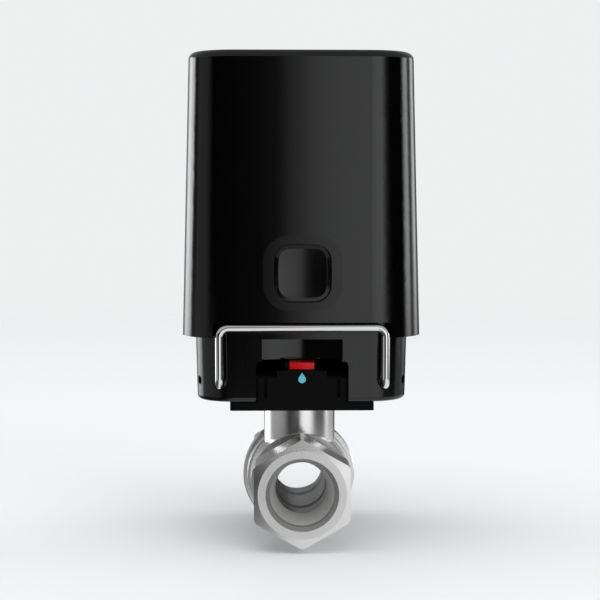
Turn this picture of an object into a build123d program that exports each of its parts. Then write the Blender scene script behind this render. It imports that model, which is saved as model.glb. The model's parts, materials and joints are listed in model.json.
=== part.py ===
from build123d import *
from math import acos, atan2, cos, degrees, hypot, pi, radians, sin, sqrt, tan
import os

os.makedirs("parts", exist_ok=True)

# A motorised ball valve for a half-inch water pipe. X is to the right, Y runs back along the pipe and
# Z is up. The origin is where the pipe's axis crosses the stem's axis. All lengths are millimetres.

# Clearances and the overrun that every cut uses
running_clearance = 0.04
seat_clearance = 0.08
slip_clearance = 0.3
face_gap = 0.1
overrun = 2.0

# Valve body
valve_length = 62.0
water_bore_radius = 7.5
pipe_thread_radius = 9.316
pipe_thread_mouth_radius = 10.478
pipe_thread_depth = 6.0
bore_taper_depth = 12.1
hex_across_flats = 27.5
hex_corner_radius = 15.6
hex_length = 13.3
hex_face_radius = 12.7
hex_face_slope = 15.0
waist_radius = 11.8
waist_blend = 1.2
chamber_half_length = 11.6
# cone, first step, second step and back of the chamber: radius and place along the pipe
chamber_profile = ((14.66, -11.6), (14.95, -0.6), (15.2, -0.35), (15.6, -0.35), (16.05, 4.6), (16.05, 5.2),
                   (16.8, 5.2), (17.05, 5.5), (17.05, 7.4), (16.0, 7.4))
neck_radius = 10.65
neck_height = 26.0
cavity_radius = 11.8
spigot_start = 6.6
spigot_radius = 13.15
end_flange_radius = 15.2
end_flange_thickness = 2.6

# Ball, its seats and the stem
ball_radius = 11.2
ball_slot_width = 4.4
ball_slot_depth = 2.4
seat_outer_radius = 10.4
seat_back = 12.2
seat_front = 7.2
stem_radius = 4.0
stem_flange_radius = 5.4
stem_flange_bottom = 11.9
stem_flange_height = 1.7
stem_tongue_length = 9.0
stem_tongue_play = 0.2
washer_thickness = 0.8
stem_ring_heights = (17.0, 20.2)
stem_groove_width = 1.4
stem_groove_depth = 1.1
stem_square = 5.5
stem_square_height = 7.4
clip_thickness = 0.8
clip_depth = 0.6
clip_overhang = 1.4
body_seal_thickness = 0.46

# Adapter between the valve's neck and the drive
adapter_drop = 2.2
adapter_lip_width = 41.0
adapter_lip_height = 2.5
adapter_front = 27.9
adapter_floor_thickness = 3.0
adapter_rail_height = 4.4
adapter_rail_wall = 0.8
adapter_rim_width = 2.4
adapter_side_gap = 0.6
adapter_web_hole_radius = 5.8
adapter_corner_radius = 1.0
tongue_width = 14.2
tongue_rise = 1.5
tongue_depth = 5.9
shoulder_width = 25.2
shoulder_depth = 3.9
shoulder_drop = 0.5
finger_slot_width = 1.0
finger_slot_depth = 1.5
finger_slot_height = 5.6
finger_slot_spread = 10.4
drop_radius = 1.075
drop_height = 3.0
drop_below_tongue = 0.55
drop_thickness = 0.4
adapter_screw_circle_radius = 8.0

# Chassis: the skirt round the adapter, the deck that carries the drive, and the collar in the cover
skirt_bottom_rise = 2.7
skirt_height = 20.5
skirt_draft = 0.5
skirt_corner_radius = 10.8
skirt_wall = 2.4
skirt_bottom_round = 1.3
side_bulge = 0.35
deck_thickness = 2.5
collar_wall = 1.8
collar_height = 5.0
collar_gap = 0.32
window_width = 22.8
window_sill = 6.1
window_top_margin = 0.1
window_foot_width = 26.2
window_foot_corner = 1.7
scoop_radius = 36.0
scoop_depth = 10.7
scoop_wall = 1.6
arm_headroom = 0.3
hub_radius = 10.0
hub_drop = 6.4
ledge_width = 2.9
ledge_length = 4.0
ledge_places = (-16.0, 9.0)
side_hole_radius = 1.25
side_hole_angle = 66.0
side_hole_rise = 5.7

# Wire bail
wire_radius = 1.1
bail_width = 49.0
bail_bar_rise = 0.9
bail_gap = 0.9
bail_foot_rise = 4.8
bail_top_bend = 2.7
bail_foot_bend = 2.2
prong_end = 12.0
prong_hole_radius = wire_radius + slip_clearance

# Cover
cover_room = 1.4
cover_flare = 2.0
cover_overhang = 3.73
cover_height = 80.4
cover_corner_radius = 15.0
cover_wall = 2.2
cover_top_round = 2.0
cover_overlap = 2.0
cover_bulge = 0.5
bail_cutout_width = 50.4
bail_cutout_height = 4.35
bail_cutout_corner = 1.4
bail_cutout_depth = 6.0
cover_boss_radius = 3.2
cover_boss_inset = 12.3
cover_boss_height = 9.0
cover_web_width = 2.0
gasket_height = 1.1
gasket_rise = 2.65
gasket_width = 1.05
gasket_gap = 0.08

# Button
button_rise = 16.2
button_width = 15.8
button_tall = 16.0
button_corner = 4.5
button_bulge = 0.45
button_gap = 0.3
button_border = 1.0
button_border_drop = 0.45
pad_border = 1.1
pad_corner = 3.0
pad_hollow = 0.55
pad_reach = 9.0
dish_width = 22.4
dish_tall = 21.2
dish_corner = 7.4
dish_edge_depth = 0.06
dish_depth = 0.1
button_proud = 0.05
button_collar_wall = 1.7
button_collar_depth = 1.8
button_seal_width = 0.8
button_seal_depth = 1.2
button_flange_margin = 1.2
button_flange_thickness = 0.6
button_travel = 0.5
button_play = 0.12

# Indicator and output shaft
arm_gap = 0.25
arm_thickness = 1.9
arm_width = 7.0
arm_reach = 26.6
arm_hub_radius = 8.5
socket_radius = 5.2
socket_gap = 0.3
socket_play = 0.1
journal_radius = 5.0
square_drive = 7.0
upper_journal_radius = 3.0
bush_wall = 1.6
bush_flange_radius = 8.0
bush_flange_thickness = 1.0
shaft_seal_radius = 8.0
shaft_seal_height = 1.6

# Gear train
pressure_angle = 25.0
addendum_share = 0.85
dedendum_share = 1.15
tooth_thinning_share = 0.14
flank_shares = (0.0, 0.3, 0.65, 1.0)
coarse_module = 0.8
fine_module = 0.5
pinion_teeth = 12
output_teeth = 36
second_wheel_teeth = 40
first_wheel_teeth = 36
second_axis_angle = 200.0
first_axis_angle = 85.0
motor_axis_angle = 95.0
output_face = 5.0
second_face = 3.2
first_face = 2.4
layer_gap = 0.6
gear_gap = 0.4
second_axle_radius = 1.5
first_axle_radius = 1.0
magnet_radius = 1.5
magnet_thickness = 1.4
magnet_circle_radius = 10.75

# Gear case
case_floor = 1.2
case_wall = 1.4
case_gear_gap = 0.7
lid_thickness = 2.0
lug_radius = 3.0
lug_places = ((14.8, -12.4), (17.0, 9.06), (2.7, 19.1), (-24.2, 16.0))
axle_seat = 0.7
sensor_board_width = 6.0
sensor_board_length = 20.0
sensor_board_thickness = 1.6
sensor_size = 3.0
sensor_thickness = 1.0

# Geared motor
motor_radius = 10.0
gearhead_length = 16.5
motor_can_radius = 9.6
motor_can_length = 24.6
motor_pilot_radius = 3.5
motor_shaft_radius = 1.5
motor_shaft_depth = 3.0
motor_tab_height = 2.5
motor_tab_width = 2.4
motor_tab_thickness = 0.5
motor_tab_spread = 3.5
motor_screw_circle_radius = 6.5
motor_screw_angle = 135.0

# Battery carrier and cells
cell_radius = 7.25
cell_length = 49.5
cell_nub_radius = 2.75
cell_nub_height = 1.0
cell_pitch = 15.0
cell_centre = 12.4
well_play = 0.35
well_wall = 1.2
well_height = 35.0
carrier_screw_places = ((8.0, -12.5), (-8.0, -12.5))
carrier_floor = 2.0
carrier_post_radius = 2.6
board_post_width = 5.0
board_post_depth = 3.5
board_post_height = 35.0
contact_height = 1.5
contact_strip = 0.3
contact_width = 5.0
contact_length = 8.0
pad_width = 6.0
cap_thickness = 1.8
cap_gap = 0.1

# Control board
board_distance = 6.7
board_width = 37.0
board_height = 48.0
board_thickness = 1.6
board_rise = 3.0
board_screw_spread = 16.0
board_screw_rises = (21.0, 47.0)
switch_size = 6.0
switch_depth = 3.5
plunger_radius = 1.75
plunger_length = 1.1
radio_width = 16.0
radio_height = 18.0
radio_thickness = 2.6
radio_rise = 31.0
connector_width = 7.0
connector_height = 7.0
connector_depth = 4.7
connector_rise = 43.0
connector_spread = 6.0
chip_size = 7.0
chip_thickness = 1.0
lead_radius = 0.5
lead_bend = 3.0

# Screws: shank radius, head radius, head height and length under the head
small_screw_radius = 1.25
small_head_radius = 2.25
small_head_height = 1.6
small_screw_length = 8.0
short_screw_length = 4.0
adapter_head_height = 2.5
large_screw_radius = 1.5
large_head_radius = 2.75
large_head_height = 1.8
large_screw_length = 8.0
cover_screw_length = 10.0
tiny_screw_radius = 1.0
tiny_head_radius = 2.0
tiny_screw_length = 5.6
screw_hole_play = 0.2
key_share = 0.45
key_depth_share = 0.6


# Heights, worked out upwards from the pipe's axis
adapter_bottom = neck_height - adapter_drop
adapter_ledge = adapter_bottom + adapter_lip_height
adapter_floor = adapter_ledge + adapter_floor_thickness
rail_top = adapter_floor + adapter_rail_height
shoulder_top = rail_top - shoulder_drop
tongue_top = rail_top + tongue_rise
arm_bottom = tongue_top + arm_gap
arm_top = arm_bottom + arm_thickness
scoop_bottom = arm_top + arm_headroom
skirt_bottom = adapter_bottom + skirt_bottom_rise
deck_top = skirt_bottom + skirt_height
deck_bottom = deck_top - deck_thickness
hub_bottom = deck_bottom - hub_drop
collar_top = deck_top + collar_height
cover_bottom = deck_top - cover_overlap
cover_top = cover_bottom + cover_height
case_floor_top = deck_top + case_floor
output_gear_bottom = case_floor_top + gear_gap
output_gear_top = output_gear_bottom + output_face
second_wheel_bottom = output_gear_top + layer_gap
second_wheel_top = second_wheel_bottom + second_face
first_wheel_bottom = second_wheel_top + layer_gap
first_wheel_top = first_wheel_bottom + first_face
case_top = first_wheel_top + gear_gap
lid_top = case_top + lid_thickness
carrier_top = lid_top + carrier_floor
cell_bottom = carrier_top + contact_height
cell_top = cell_bottom + cell_length + cell_nub_height
upper_contact_bottom = cell_top + cap_gap
cap_bottom = upper_contact_bottom + contact_strip
cap_top = cap_bottom + cap_thickness
window_top = deck_bottom - window_top_margin
window_step = window_top - window_sill
bail_bar_height = deck_top + bail_bar_rise
bail_prong_height = skirt_bottom + bail_foot_rise
button_height = deck_top + button_rise
side_hole_height = skirt_bottom + side_hole_rise
board_bottom = deck_top + board_rise


# Half widths of the drafted shapes at a height
well_radius = cell_radius + well_play
well_reach = cell_pitch / 2 + well_radius + well_wall
cover_top_half = cell_centre + well_reach + cover_room + cover_wall
cover_bottom_half = cover_top_half + cover_flare
skirt_top_half = cover_bottom_half - cover_overhang
cover_boss_place = cover_bottom_half - cover_boss_inset


def cover_half(height):
    return cover_bottom_half - cover_flare * (height - cover_bottom) / cover_height


def skirt_half(height):
    return skirt_top_half - skirt_draft * (deck_top - height) / skirt_height


def cover_corner(height):
    return cover_corner_radius - cover_bottom_half + cover_half(height)


# Places in plan
output_pitch_radius = output_teeth * coarse_module / 2
second_pinion_pitch_radius = pinion_teeth * coarse_module / 2
second_wheel_pitch_radius = second_wheel_teeth * fine_module / 2
first_wheel_pitch_radius = first_wheel_teeth * fine_module / 2
fine_pinion_pitch_radius = pinion_teeth * fine_module / 2


def step_from(start, distance, angle):
    return (start[0] + distance * cos(radians(angle)), start[1] + distance * sin(radians(angle)))


output_axis = (0, 0)
second_axis = step_from(output_axis, output_pitch_radius + second_pinion_pitch_radius, second_axis_angle)
first_axis = step_from(second_axis, second_wheel_pitch_radius + fine_pinion_pitch_radius, first_axis_angle)
motor_axis = step_from(first_axis, first_wheel_pitch_radius + fine_pinion_pitch_radius, motor_axis_angle)
cell_places = [(cell_centre + across * cell_pitch / 2, cell_centre + along * cell_pitch / 2)
               for along in (-1, 1) for across in (-1, 1)]
button_face = cover_half(button_height)
board_front = button_face - cover_wall - board_distance
board_back = board_front - board_thickness
bail_half = bail_width / 2 - wire_radius
bail_plane = skirt_half(bail_bar_height) + bail_gap + wire_radius


# Helpers: each adds to, or cuts from, the part whose block it is called in
def keep(piece, name):
    piece.part.label = name
    export_step(piece.part, f"parts/{name}.step")


def turn_upright(points, mode=Mode.ADD):
    # the points are (radius, height) round half of the section
    with BuildSketch(Plane.XZ) as section:
        with BuildLine():
            Polyline(*points, close=True)
        make_face()
    revolve(section.sketch, axis=Axis.Z, mode=mode)


def turn_along_pipe(points, mode=Mode.ADD):
    # the points are (radius, place along the pipe) round half of the section
    with BuildSketch(Plane.XY) as section:
        with BuildLine():
            Polyline(*points, close=True)
        make_face()
    revolve(section.sketch, axis=Axis.Y, mode=mode)


def tube_points(inner, outer, low, high):
    return [(inner, low), (outer, low), (outer, high), (inner, high)]


def post(place, radius, low, high, mode=Mode.ADD):
    with Locations((place[0], place[1], low)):
        Cylinder(radius, high - low, align=(Align.CENTER, Align.CENTER, Align.MIN), mode=mode)


def block(x_range, y_range, z_range, mode=Mode.ADD):
    sizes = [span[1] - span[0] for span in (x_range, y_range, z_range)]
    with Locations((x_range[0], y_range[0], z_range[0])):
        Box(*sizes, align=(Align.MIN, Align.MIN, Align.MIN), mode=mode)


def facing_front(place):
    # an upright plane at this place along Y whose normal points at the viewer
    return Plane.XZ.offset(-place)


def crowned_outline(plane, half_width, half_tall, corner, bulge):
    # a rectangle with slightly crowned sides and rounded corners
    across, up = half_width - bulge, half_tall - bulge
    corners = [(-across, -up), (across, -up), (across, up), (-across, up)]
    middles = [(0, -half_tall), (half_width, 0), (0, half_tall), (-half_width, 0)]
    with BuildSketch(plane) as outline:
        with BuildLine():
            for side in range(len(corners)):
                ThreePointArc(corners[side], middles[side], corners[(side + 1) % len(corners)])
        make_face()
        fillet(outline.vertices(), corner)
    return outline.sketch


def rounded_square(half, corner, bulge, height):
    return crowned_outline(Plane.XY.offset(height), half, half, corner, bulge)


# the button and its dish lean back with the cover's front
button_lean = cover_flare / cover_height


def button_axis(place):
    return (0, place, button_height - button_lean * (place + button_face))


def button_outline(width, tall, corner, place):
    plane = Plane(button_axis(place), x_dir=(1, 0, 0), z_dir=(0, -1, button_lean))
    return crowned_outline(plane, width / 2, tall / 2, corner, button_bulge)


def front_plate(width, tall, corner, front, back, mode=Mode.ADD):
    # such an outline round the button's middle, between two places along Y
    extrude(button_outline(width, tall, corner, front), amount=-(back - front), mode=mode)


def screw(place, head_radius, head_height, shank_radius, length, seat, upwards=False):
    # a screw whose head rests on the height seat; its shank points down, or up
    side = 1 if upwards else -1
    head = sorted((seat, seat - side * head_height))
    shank = sorted((seat, seat + side * length))
    post(place, head_radius, *head)
    post(place, shank_radius, *shank)
    depth = head_height * key_depth_share
    key = sorted((seat - side * (head_height + overrun), seat - side * (head_height - depth)))
    with BuildSketch(Plane.XY.offset(key[0])) as socket:
        with Locations(place):
            RegularPolygon(head_radius * key_share, 6)
    extrude(socket.sketch, amount=key[1] - key[0], mode=Mode.SUBTRACT)


def countersunk_screw(place, head_radius, shank_radius, length, seat, upwards=False):
    # a screw whose flat head is flush with the height seat
    side = 1 if upwards else -1
    slope = head_radius - shank_radius
    points = [(0, seat), (head_radius, seat), (shank_radius, seat + side * slope),
              (shank_radius, seat + side * length), (0, seat + side * length)]
    with BuildSketch(Plane((place[0], place[1], 0), x_dir=(1, 0, 0), z_dir=(0, -1, 0))) as section:
        with BuildLine():
            Polyline(*points, close=True)
        make_face()
    revolve(section.sketch, axis=Axis((place[0], place[1], 0), (0, 0, 1)))


def countersink(place, head_radius, shank_radius, face, depth, upwards=False):
    # the hole for such a screw
    side = 1 if upwards else -1
    slope = head_radius - shank_radius
    low, high = sorted((face, face + side * depth))
    post(place, shank_radius, low, high, mode=Mode.SUBTRACT)
    cone_low, cone_high = sorted((face, face + side * slope))
    radii = (head_radius, shank_radius) if upwards else (shank_radius, head_radius)
    with Locations((place[0], place[1], cone_low)):
        Cone(*radii, cone_high - cone_low, align=(Align.CENTER, Align.CENTER, Align.MIN), mode=Mode.SUBTRACT)


# Gears
def involute(angle):
    return tan(angle) - angle


def gear_outline(teeth, module, first_tooth):
    # points round a spur gear: chords along each involute flank, flat tips and flat roots
    pitch_radius = teeth * module / 2
    base_radius = pitch_radius * cos(radians(pressure_angle))
    tip_radius = pitch_radius + addendum_share * module
    root_radius = pitch_radius - dedendum_share * module
    half_tooth = pi / (2 * teeth) - tooth_thinning_share * module / 2 / pitch_radius
    start = max(base_radius, root_radius)
    flank = []
    for share in flank_shares:
        radius = start + share * (tip_radius - start)
        roll = involute(acos(min(1, base_radius / radius)))
        flank.append((radius, half_tooth + involute(radians(pressure_angle)) - roll))
    if root_radius < base_radius:
        flank.insert(0, (root_radius, flank[0][1]))
    points = []
    for tooth in range(teeth):
        centre = radians(first_tooth) + 2 * pi * tooth / teeth
        rising = [(radius, centre - half) for radius, half in flank]
        falling = [(radius, centre + half) for radius, half in reversed(flank)]
        points += [(radius * cos(angle), radius * sin(angle)) for radius, angle in rising + falling]
    return points


def mesh_angle(driver_teeth, driver_first, teeth, direction):
    # the first tooth's angle of a gear that meshes with a driver which lies opposite to direction
    return direction + 180 + 180 / teeth - driver_teeth / teeth * (driver_first - direction)


def gear(place, teeth, module, first_tooth, low, high):
    with BuildSketch(Plane.XY.offset(low)) as outline:
        with BuildLine():
            Polyline(*[(place[0] + x, place[1] + y) for x, y in gear_outline(teeth, module, first_tooth)],
                     close=True)
        make_face()
    extrude(outline.sketch, amount=high - low)


def tip_radius_of(pitch_radius, module):
    return pitch_radius + addendum_share * module


second_pinion_first = mesh_angle(output_teeth, 0, pinion_teeth, second_axis_angle)
first_pinion_first = mesh_angle(second_wheel_teeth, 0, pinion_teeth, first_axis_angle)
motor_pinion_first = mesh_angle(first_wheel_teeth, 0, pinion_teeth, motor_axis_angle)


# The end of the valve: hexagon with turned corners, pipe thread, taper and water way
def hex_end(side):
    # side is -1 for the front end and 1 for the back end; this is the first thing in a part's block
    face = side * valve_length / 2
    back = face - side * hex_length
    slope = tan(radians(hex_face_slope)) * (hex_corner_radius - hex_face_radius)
    with BuildSketch(facing_front(min(face, back))) as hexagon:
        RegularPolygon(hex_across_flats / 2, 6, major_radius=False, rotation=30)
    with BuildSketch(Plane.XY) as turned:
        with BuildLine():
            Polyline((0, face), (hex_face_radius, face), (hex_corner_radius, face - side * slope),
                     (hex_corner_radius, back), (0, back), close=True)
        make_face()
    extrude(hexagon.sketch, amount=-hex_length)
    revolve(turned.sketch, axis=Axis.Y, mode=Mode.INTERSECT)


def cut_pipe_end(side):
    face = side * valve_length / 2
    mouth = pipe_thread_mouth_radius - pipe_thread_radius
    turn_along_pipe(
        [(0, face + side * overrun), (pipe_thread_mouth_radius + overrun, face + side * overrun),
         (pipe_thread_radius, face - side * mouth), (pipe_thread_radius, face - side * pipe_thread_depth),
         (water_bore_radius, face - side * bore_taper_depth), (water_bore_radius, 0), (0, 0)],
        mode=Mode.SUBTRACT)


hex_back = valve_length / 2 - hex_length

# Valve body: front hexagon, waist, chamber with turned rings, and the upright neck
with BuildPart() as valve_body:
    hex_end(-1)
    chamber = [(0, -hex_back), (waist_radius, -hex_back), (waist_radius, -chamber_half_length - waist_blend),
               (waist_radius + waist_blend, -chamber_half_length), *chamber_profile,
               (chamber_profile[-1][0], chamber_half_length), (0, chamber_half_length)]
    turn_along_pipe(chamber)
    post((0, 0), neck_radius, 0, neck_height)
    cut_pipe_end(-1)
    cavity = [(0, chamber_half_length + overrun), (spigot_radius, chamber_half_length + overrun),
              (spigot_radius, spigot_start),
              (cavity_radius, spigot_start), (cavity_radius, -seat_front),
              (seat_outer_radius + running_clearance, -seat_front),
              (seat_outer_radius + running_clearance, -seat_back), (0, -seat_back)]
    turn_along_pipe(cavity, mode=Mode.SUBTRACT)
    post((0, 0), stem_radius + running_clearance, 0, neck_height + overrun, mode=Mode.SUBTRACT)
    post((0, 0), stem_flange_radius + slip_clearance, 0,
         stem_flange_bottom + stem_flange_height + washer_thickness + 2 * face_gap, mode=Mode.SUBTRACT)
    with PolarLocations(adapter_screw_circle_radius, 4, start_angle=45):
        with Locations((0, 0, neck_height)):
            Cylinder(small_screw_radius, small_screw_length + overrun, mode=Mode.SUBTRACT,
                     align=(Align.CENTER, Align.CENTER, Align.CENTER))
keep(valve_body, "valve_body")

# End piece: screwed into the body's back, with the back hexagon and the back seat's pocket
with BuildPart() as end_piece:
    hex_end(1)
    seal_face = spigot_start + body_seal_thickness
    flange_back_face = chamber_half_length + end_flange_thickness
    turn_along_pipe([(0, seal_face), (spigot_radius - running_clearance, seal_face),
                     (spigot_radius - running_clearance, chamber_half_length),
                     (end_flange_radius, chamber_half_length), (end_flange_radius, flange_back_face),
                     (waist_radius, flange_back_face), (waist_radius, hex_back), (0, hex_back)])
    cut_pipe_end(1)
    turn_along_pipe([(0, seal_face - overrun), (seat_outer_radius + running_clearance, seal_face - overrun),
                     (seat_outer_radius + running_clearance, seat_back), (0, seat_back)],
                    mode=Mode.SUBTRACT)
keep(end_piece, "end_piece")

with BuildPart() as body_seal:
    turn_along_pipe(tube_points(cavity_radius, spigot_radius - running_clearance, spigot_start,
                                spigot_start + body_seal_thickness))
keep(body_seal, "body_seal")

for seat_side, seat_name in ((-1, "front_seat"), (1, "rear_seat")):
    with BuildPart() as seat:
        turn_along_pipe(tube_points(water_bore_radius, seat_outer_radius,
                                    *sorted((seat_side * (seat_front - overrun / 2), seat_side * seat_back))))
        Sphere(ball_radius + seat_clearance, mode=Mode.SUBTRACT)
    keep(seat, seat_name)

# Ball: its bore lies along the pipe, so the valve is open; the slot on top takes the stem's tongue
ball_slot_floor = ball_radius - ball_slot_depth
with BuildPart() as ball:
    Sphere(ball_radius)
    turn_along_pipe([(0, -ball_radius - overrun), (water_bore_radius, -ball_radius - overrun),
                     (water_bore_radius, ball_radius + overrun), (0, ball_radius + overrun)],
                    mode=Mode.SUBTRACT)
    block((-ball_radius, ball_radius), (-ball_slot_width / 2, ball_slot_width / 2),
          (ball_slot_floor, ball_radius + overrun), mode=Mode.SUBTRACT)
keep(ball, "ball")

# Stem: tongue, blow-out flange, two ring grooves, clip groove and a square for the drive
stem_flange_top = stem_flange_bottom + stem_flange_height
stem_square_top = neck_height + clip_thickness + 2 * face_gap + stem_square_height
clip_bottom = neck_height + face_gap
with BuildPart() as stem:
    post((0, 0), stem_flange_radius, stem_flange_bottom, stem_flange_top)
    post((0, 0), stem_radius, stem_flange_bottom, clip_bottom + clip_thickness + clip_depth)
    half_square = stem_square / 2
    block((-half_square, half_square), (-half_square, half_square), (neck_height, stem_square_top))
    tongue_half = ball_slot_width / 2 - stem_tongue_play / 2
    block((-stem_tongue_length / 2, stem_tongue_length / 2), (-tongue_half, tongue_half),
          (ball_slot_floor + face_gap, stem_flange_bottom))
    for ring_height in stem_ring_heights:
        turn_upright(tube_points(stem_radius - stem_groove_depth, stem_radius + overrun,
                                 ring_height - stem_groove_width / 2, ring_height + stem_groove_width / 2),
                     mode=Mode.SUBTRACT)
    turn_upright(tube_points(stem_radius - clip_depth, stem_radius + overrun,
                             clip_bottom, clip_bottom + clip_thickness), mode=Mode.SUBTRACT)
keep(stem, "stem")

stem_ring_section = stem_groove_depth / 2
with BuildPart() as stem_o_rings:
    for ring_height in stem_ring_heights:
        with Locations((0, 0, ring_height)):
            Torus(stem_radius - stem_groove_depth + stem_ring_section, stem_ring_section)
keep(stem_o_rings, "stem_o_rings")

with BuildPart() as thrust_washer:
    turn_upright(tube_points(stem_radius + running_clearance, stem_flange_radius,
                             stem_flange_top + face_gap, stem_flange_top + face_gap + washer_thickness))
keep(thrust_washer, "thrust_washer")

with BuildPart() as stem_clip:
    turn_upright(tube_points(stem_radius - clip_depth, stem_radius + clip_overhang,
                             clip_bottom, clip_bottom + clip_thickness))
    block((-clip_depth, clip_depth), (0, stem_radius + clip_overhang + overrun),
          (clip_bottom, clip_bottom + clip_thickness), mode=Mode.SUBTRACT)
keep(stem_clip, "stem_clip")


# Teardrop mark on the adapter, under the indicator
def drop_outline():
    centre_height = tongue_top - drop_below_tongue - drop_height + drop_radius
    tip_rise = drop_height - drop_radius
    reach = acos(drop_radius / tip_rise)
    touch = [(side * drop_radius * sin(reach), centre_height + drop_radius * cos(reach)) for side in (-1, 1)]
    with BuildSketch(facing_front(-adapter_front)) as mark:
        with Locations((0, centre_height)):
            Circle(drop_radius)
        with BuildLine():
            Polyline(touch[0], (0, centre_height + tip_rise), touch[1], (0, centre_height), close=True)
        make_face()
    return mark.sketch


# Adapter: a lip under the skirt, a floor on the neck, side rails that hold the bail's prongs, and a
# tongue with two shoulders that fills the window's foot
adapter_half = skirt_half(skirt_bottom) - skirt_wall - adapter_side_gap
lip_half = adapter_lip_width / 2
with BuildPart() as adapter:
    block((-lip_half, lip_half), (-adapter_front, adapter_front), (adapter_bottom, adapter_ledge))
    fillet(adapter.edges().filter_by(Axis.Z), adapter_corner_radius)
    adapter_corner = skirt_corner_radius - skirt_wall - adapter_side_gap
    extrude(rounded_square(adapter_half, adapter_corner, side_bulge, adapter_ledge),
            amount=rail_top - adapter_ledge)
    rail_inner = bail_half - prong_hole_radius - adapter_rail_wall
    rim_inner = adapter_half - adapter_rim_width
    block((-rail_inner, rail_inner), (-rim_inner, rim_inner), (adapter_floor, rail_top + overrun),
          mode=Mode.SUBTRACT)
    block((-shoulder_width / 2, shoulder_width / 2), (-adapter_front, -adapter_front + shoulder_depth),
          (adapter_bottom + adapter_corner_radius, shoulder_top))
    block((-tongue_width / 2, tongue_width / 2), (-adapter_front, -adapter_front + tongue_depth),
          (adapter_floor, tongue_top))
    for side in (-1, 1):
        slot = (side * finger_slot_spread - finger_slot_width / 2,
                side * finger_slot_spread + finger_slot_width / 2)
        block(slot, (-adapter_front - overrun, -adapter_front + finger_slot_depth),
              (shoulder_top - finger_slot_height, shoulder_top + overrun), mode=Mode.SUBTRACT)
        with BuildSketch(facing_front(-adapter_half - overrun)) as prong_path:
            with Locations((side * bail_half, bail_prong_height)):
                Circle(prong_hole_radius)
        extrude(prong_path.sketch, amount=-(2 * adapter_half + 2 * overrun), mode=Mode.SUBTRACT)
    post((0, 0), neck_radius + face_gap, adapter_bottom - overrun, neck_height, mode=Mode.SUBTRACT)
    post((0, 0), adapter_web_hole_radius, neck_height - overrun, adapter_floor + overrun, mode=Mode.SUBTRACT)
    with PolarLocations(adapter_screw_circle_radius, 4, start_angle=45):
        with Locations((0, 0, adapter_floor)):
            Cylinder(small_screw_radius + screw_hole_play, 2 * adapter_lip_width, mode=Mode.SUBTRACT)
    extrude(drop_outline(), amount=-drop_thickness, mode=Mode.SUBTRACT)
keep(adapter, "adapter")

with BuildPart() as drop_mark:
    extrude(drop_outline(), amount=-drop_thickness)
keep(drop_mark, "drop_mark")

with BuildPart() as adapter_screws:
    for quarter in range(4):
        screw(step_from((0, 0), adapter_screw_circle_radius, 45 + 90 * quarter), small_head_radius,
              adapter_head_height, small_screw_radius, small_screw_length, adapter_floor)
keep(adapter_screws, "adapter_screws")

# Chassis: drafted skirt with a stepped window, scooped wall behind it, deck, shaft hub and collar
collar_half = cover_half(collar_top) - cover_wall - collar_gap
collar_corner = cover_corner(collar_top) - cover_wall - collar_gap
collar_inner_half = collar_half - collar_wall
gasket_bottom = deck_top + gasket_rise
gasket_outer_half = cover_half(gasket_bottom + gasket_height) - cover_wall - gasket_gap
cover_screw_places = [(x * cover_boss_place, y * cover_boss_place) for x in (-1, 1) for y in (-1, 1)]
skirt_inside = skirt_half(window_step) - skirt_wall
scoop_back = -skirt_inside + scoop_depth
bail_room = -bail_plane + wire_radius + slip_clearance
with BuildPart() as window_cut:
    block((-window_width / 2, window_width / 2), (-2 * skirt_top_half, 0), (scoop_bottom - overrun, window_top))
    post((0, scoop_back - scoop_wall - scoop_radius), scoop_radius, scoop_bottom - 2 * overrun, window_top,
         mode=Mode.INTERSECT)

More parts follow.
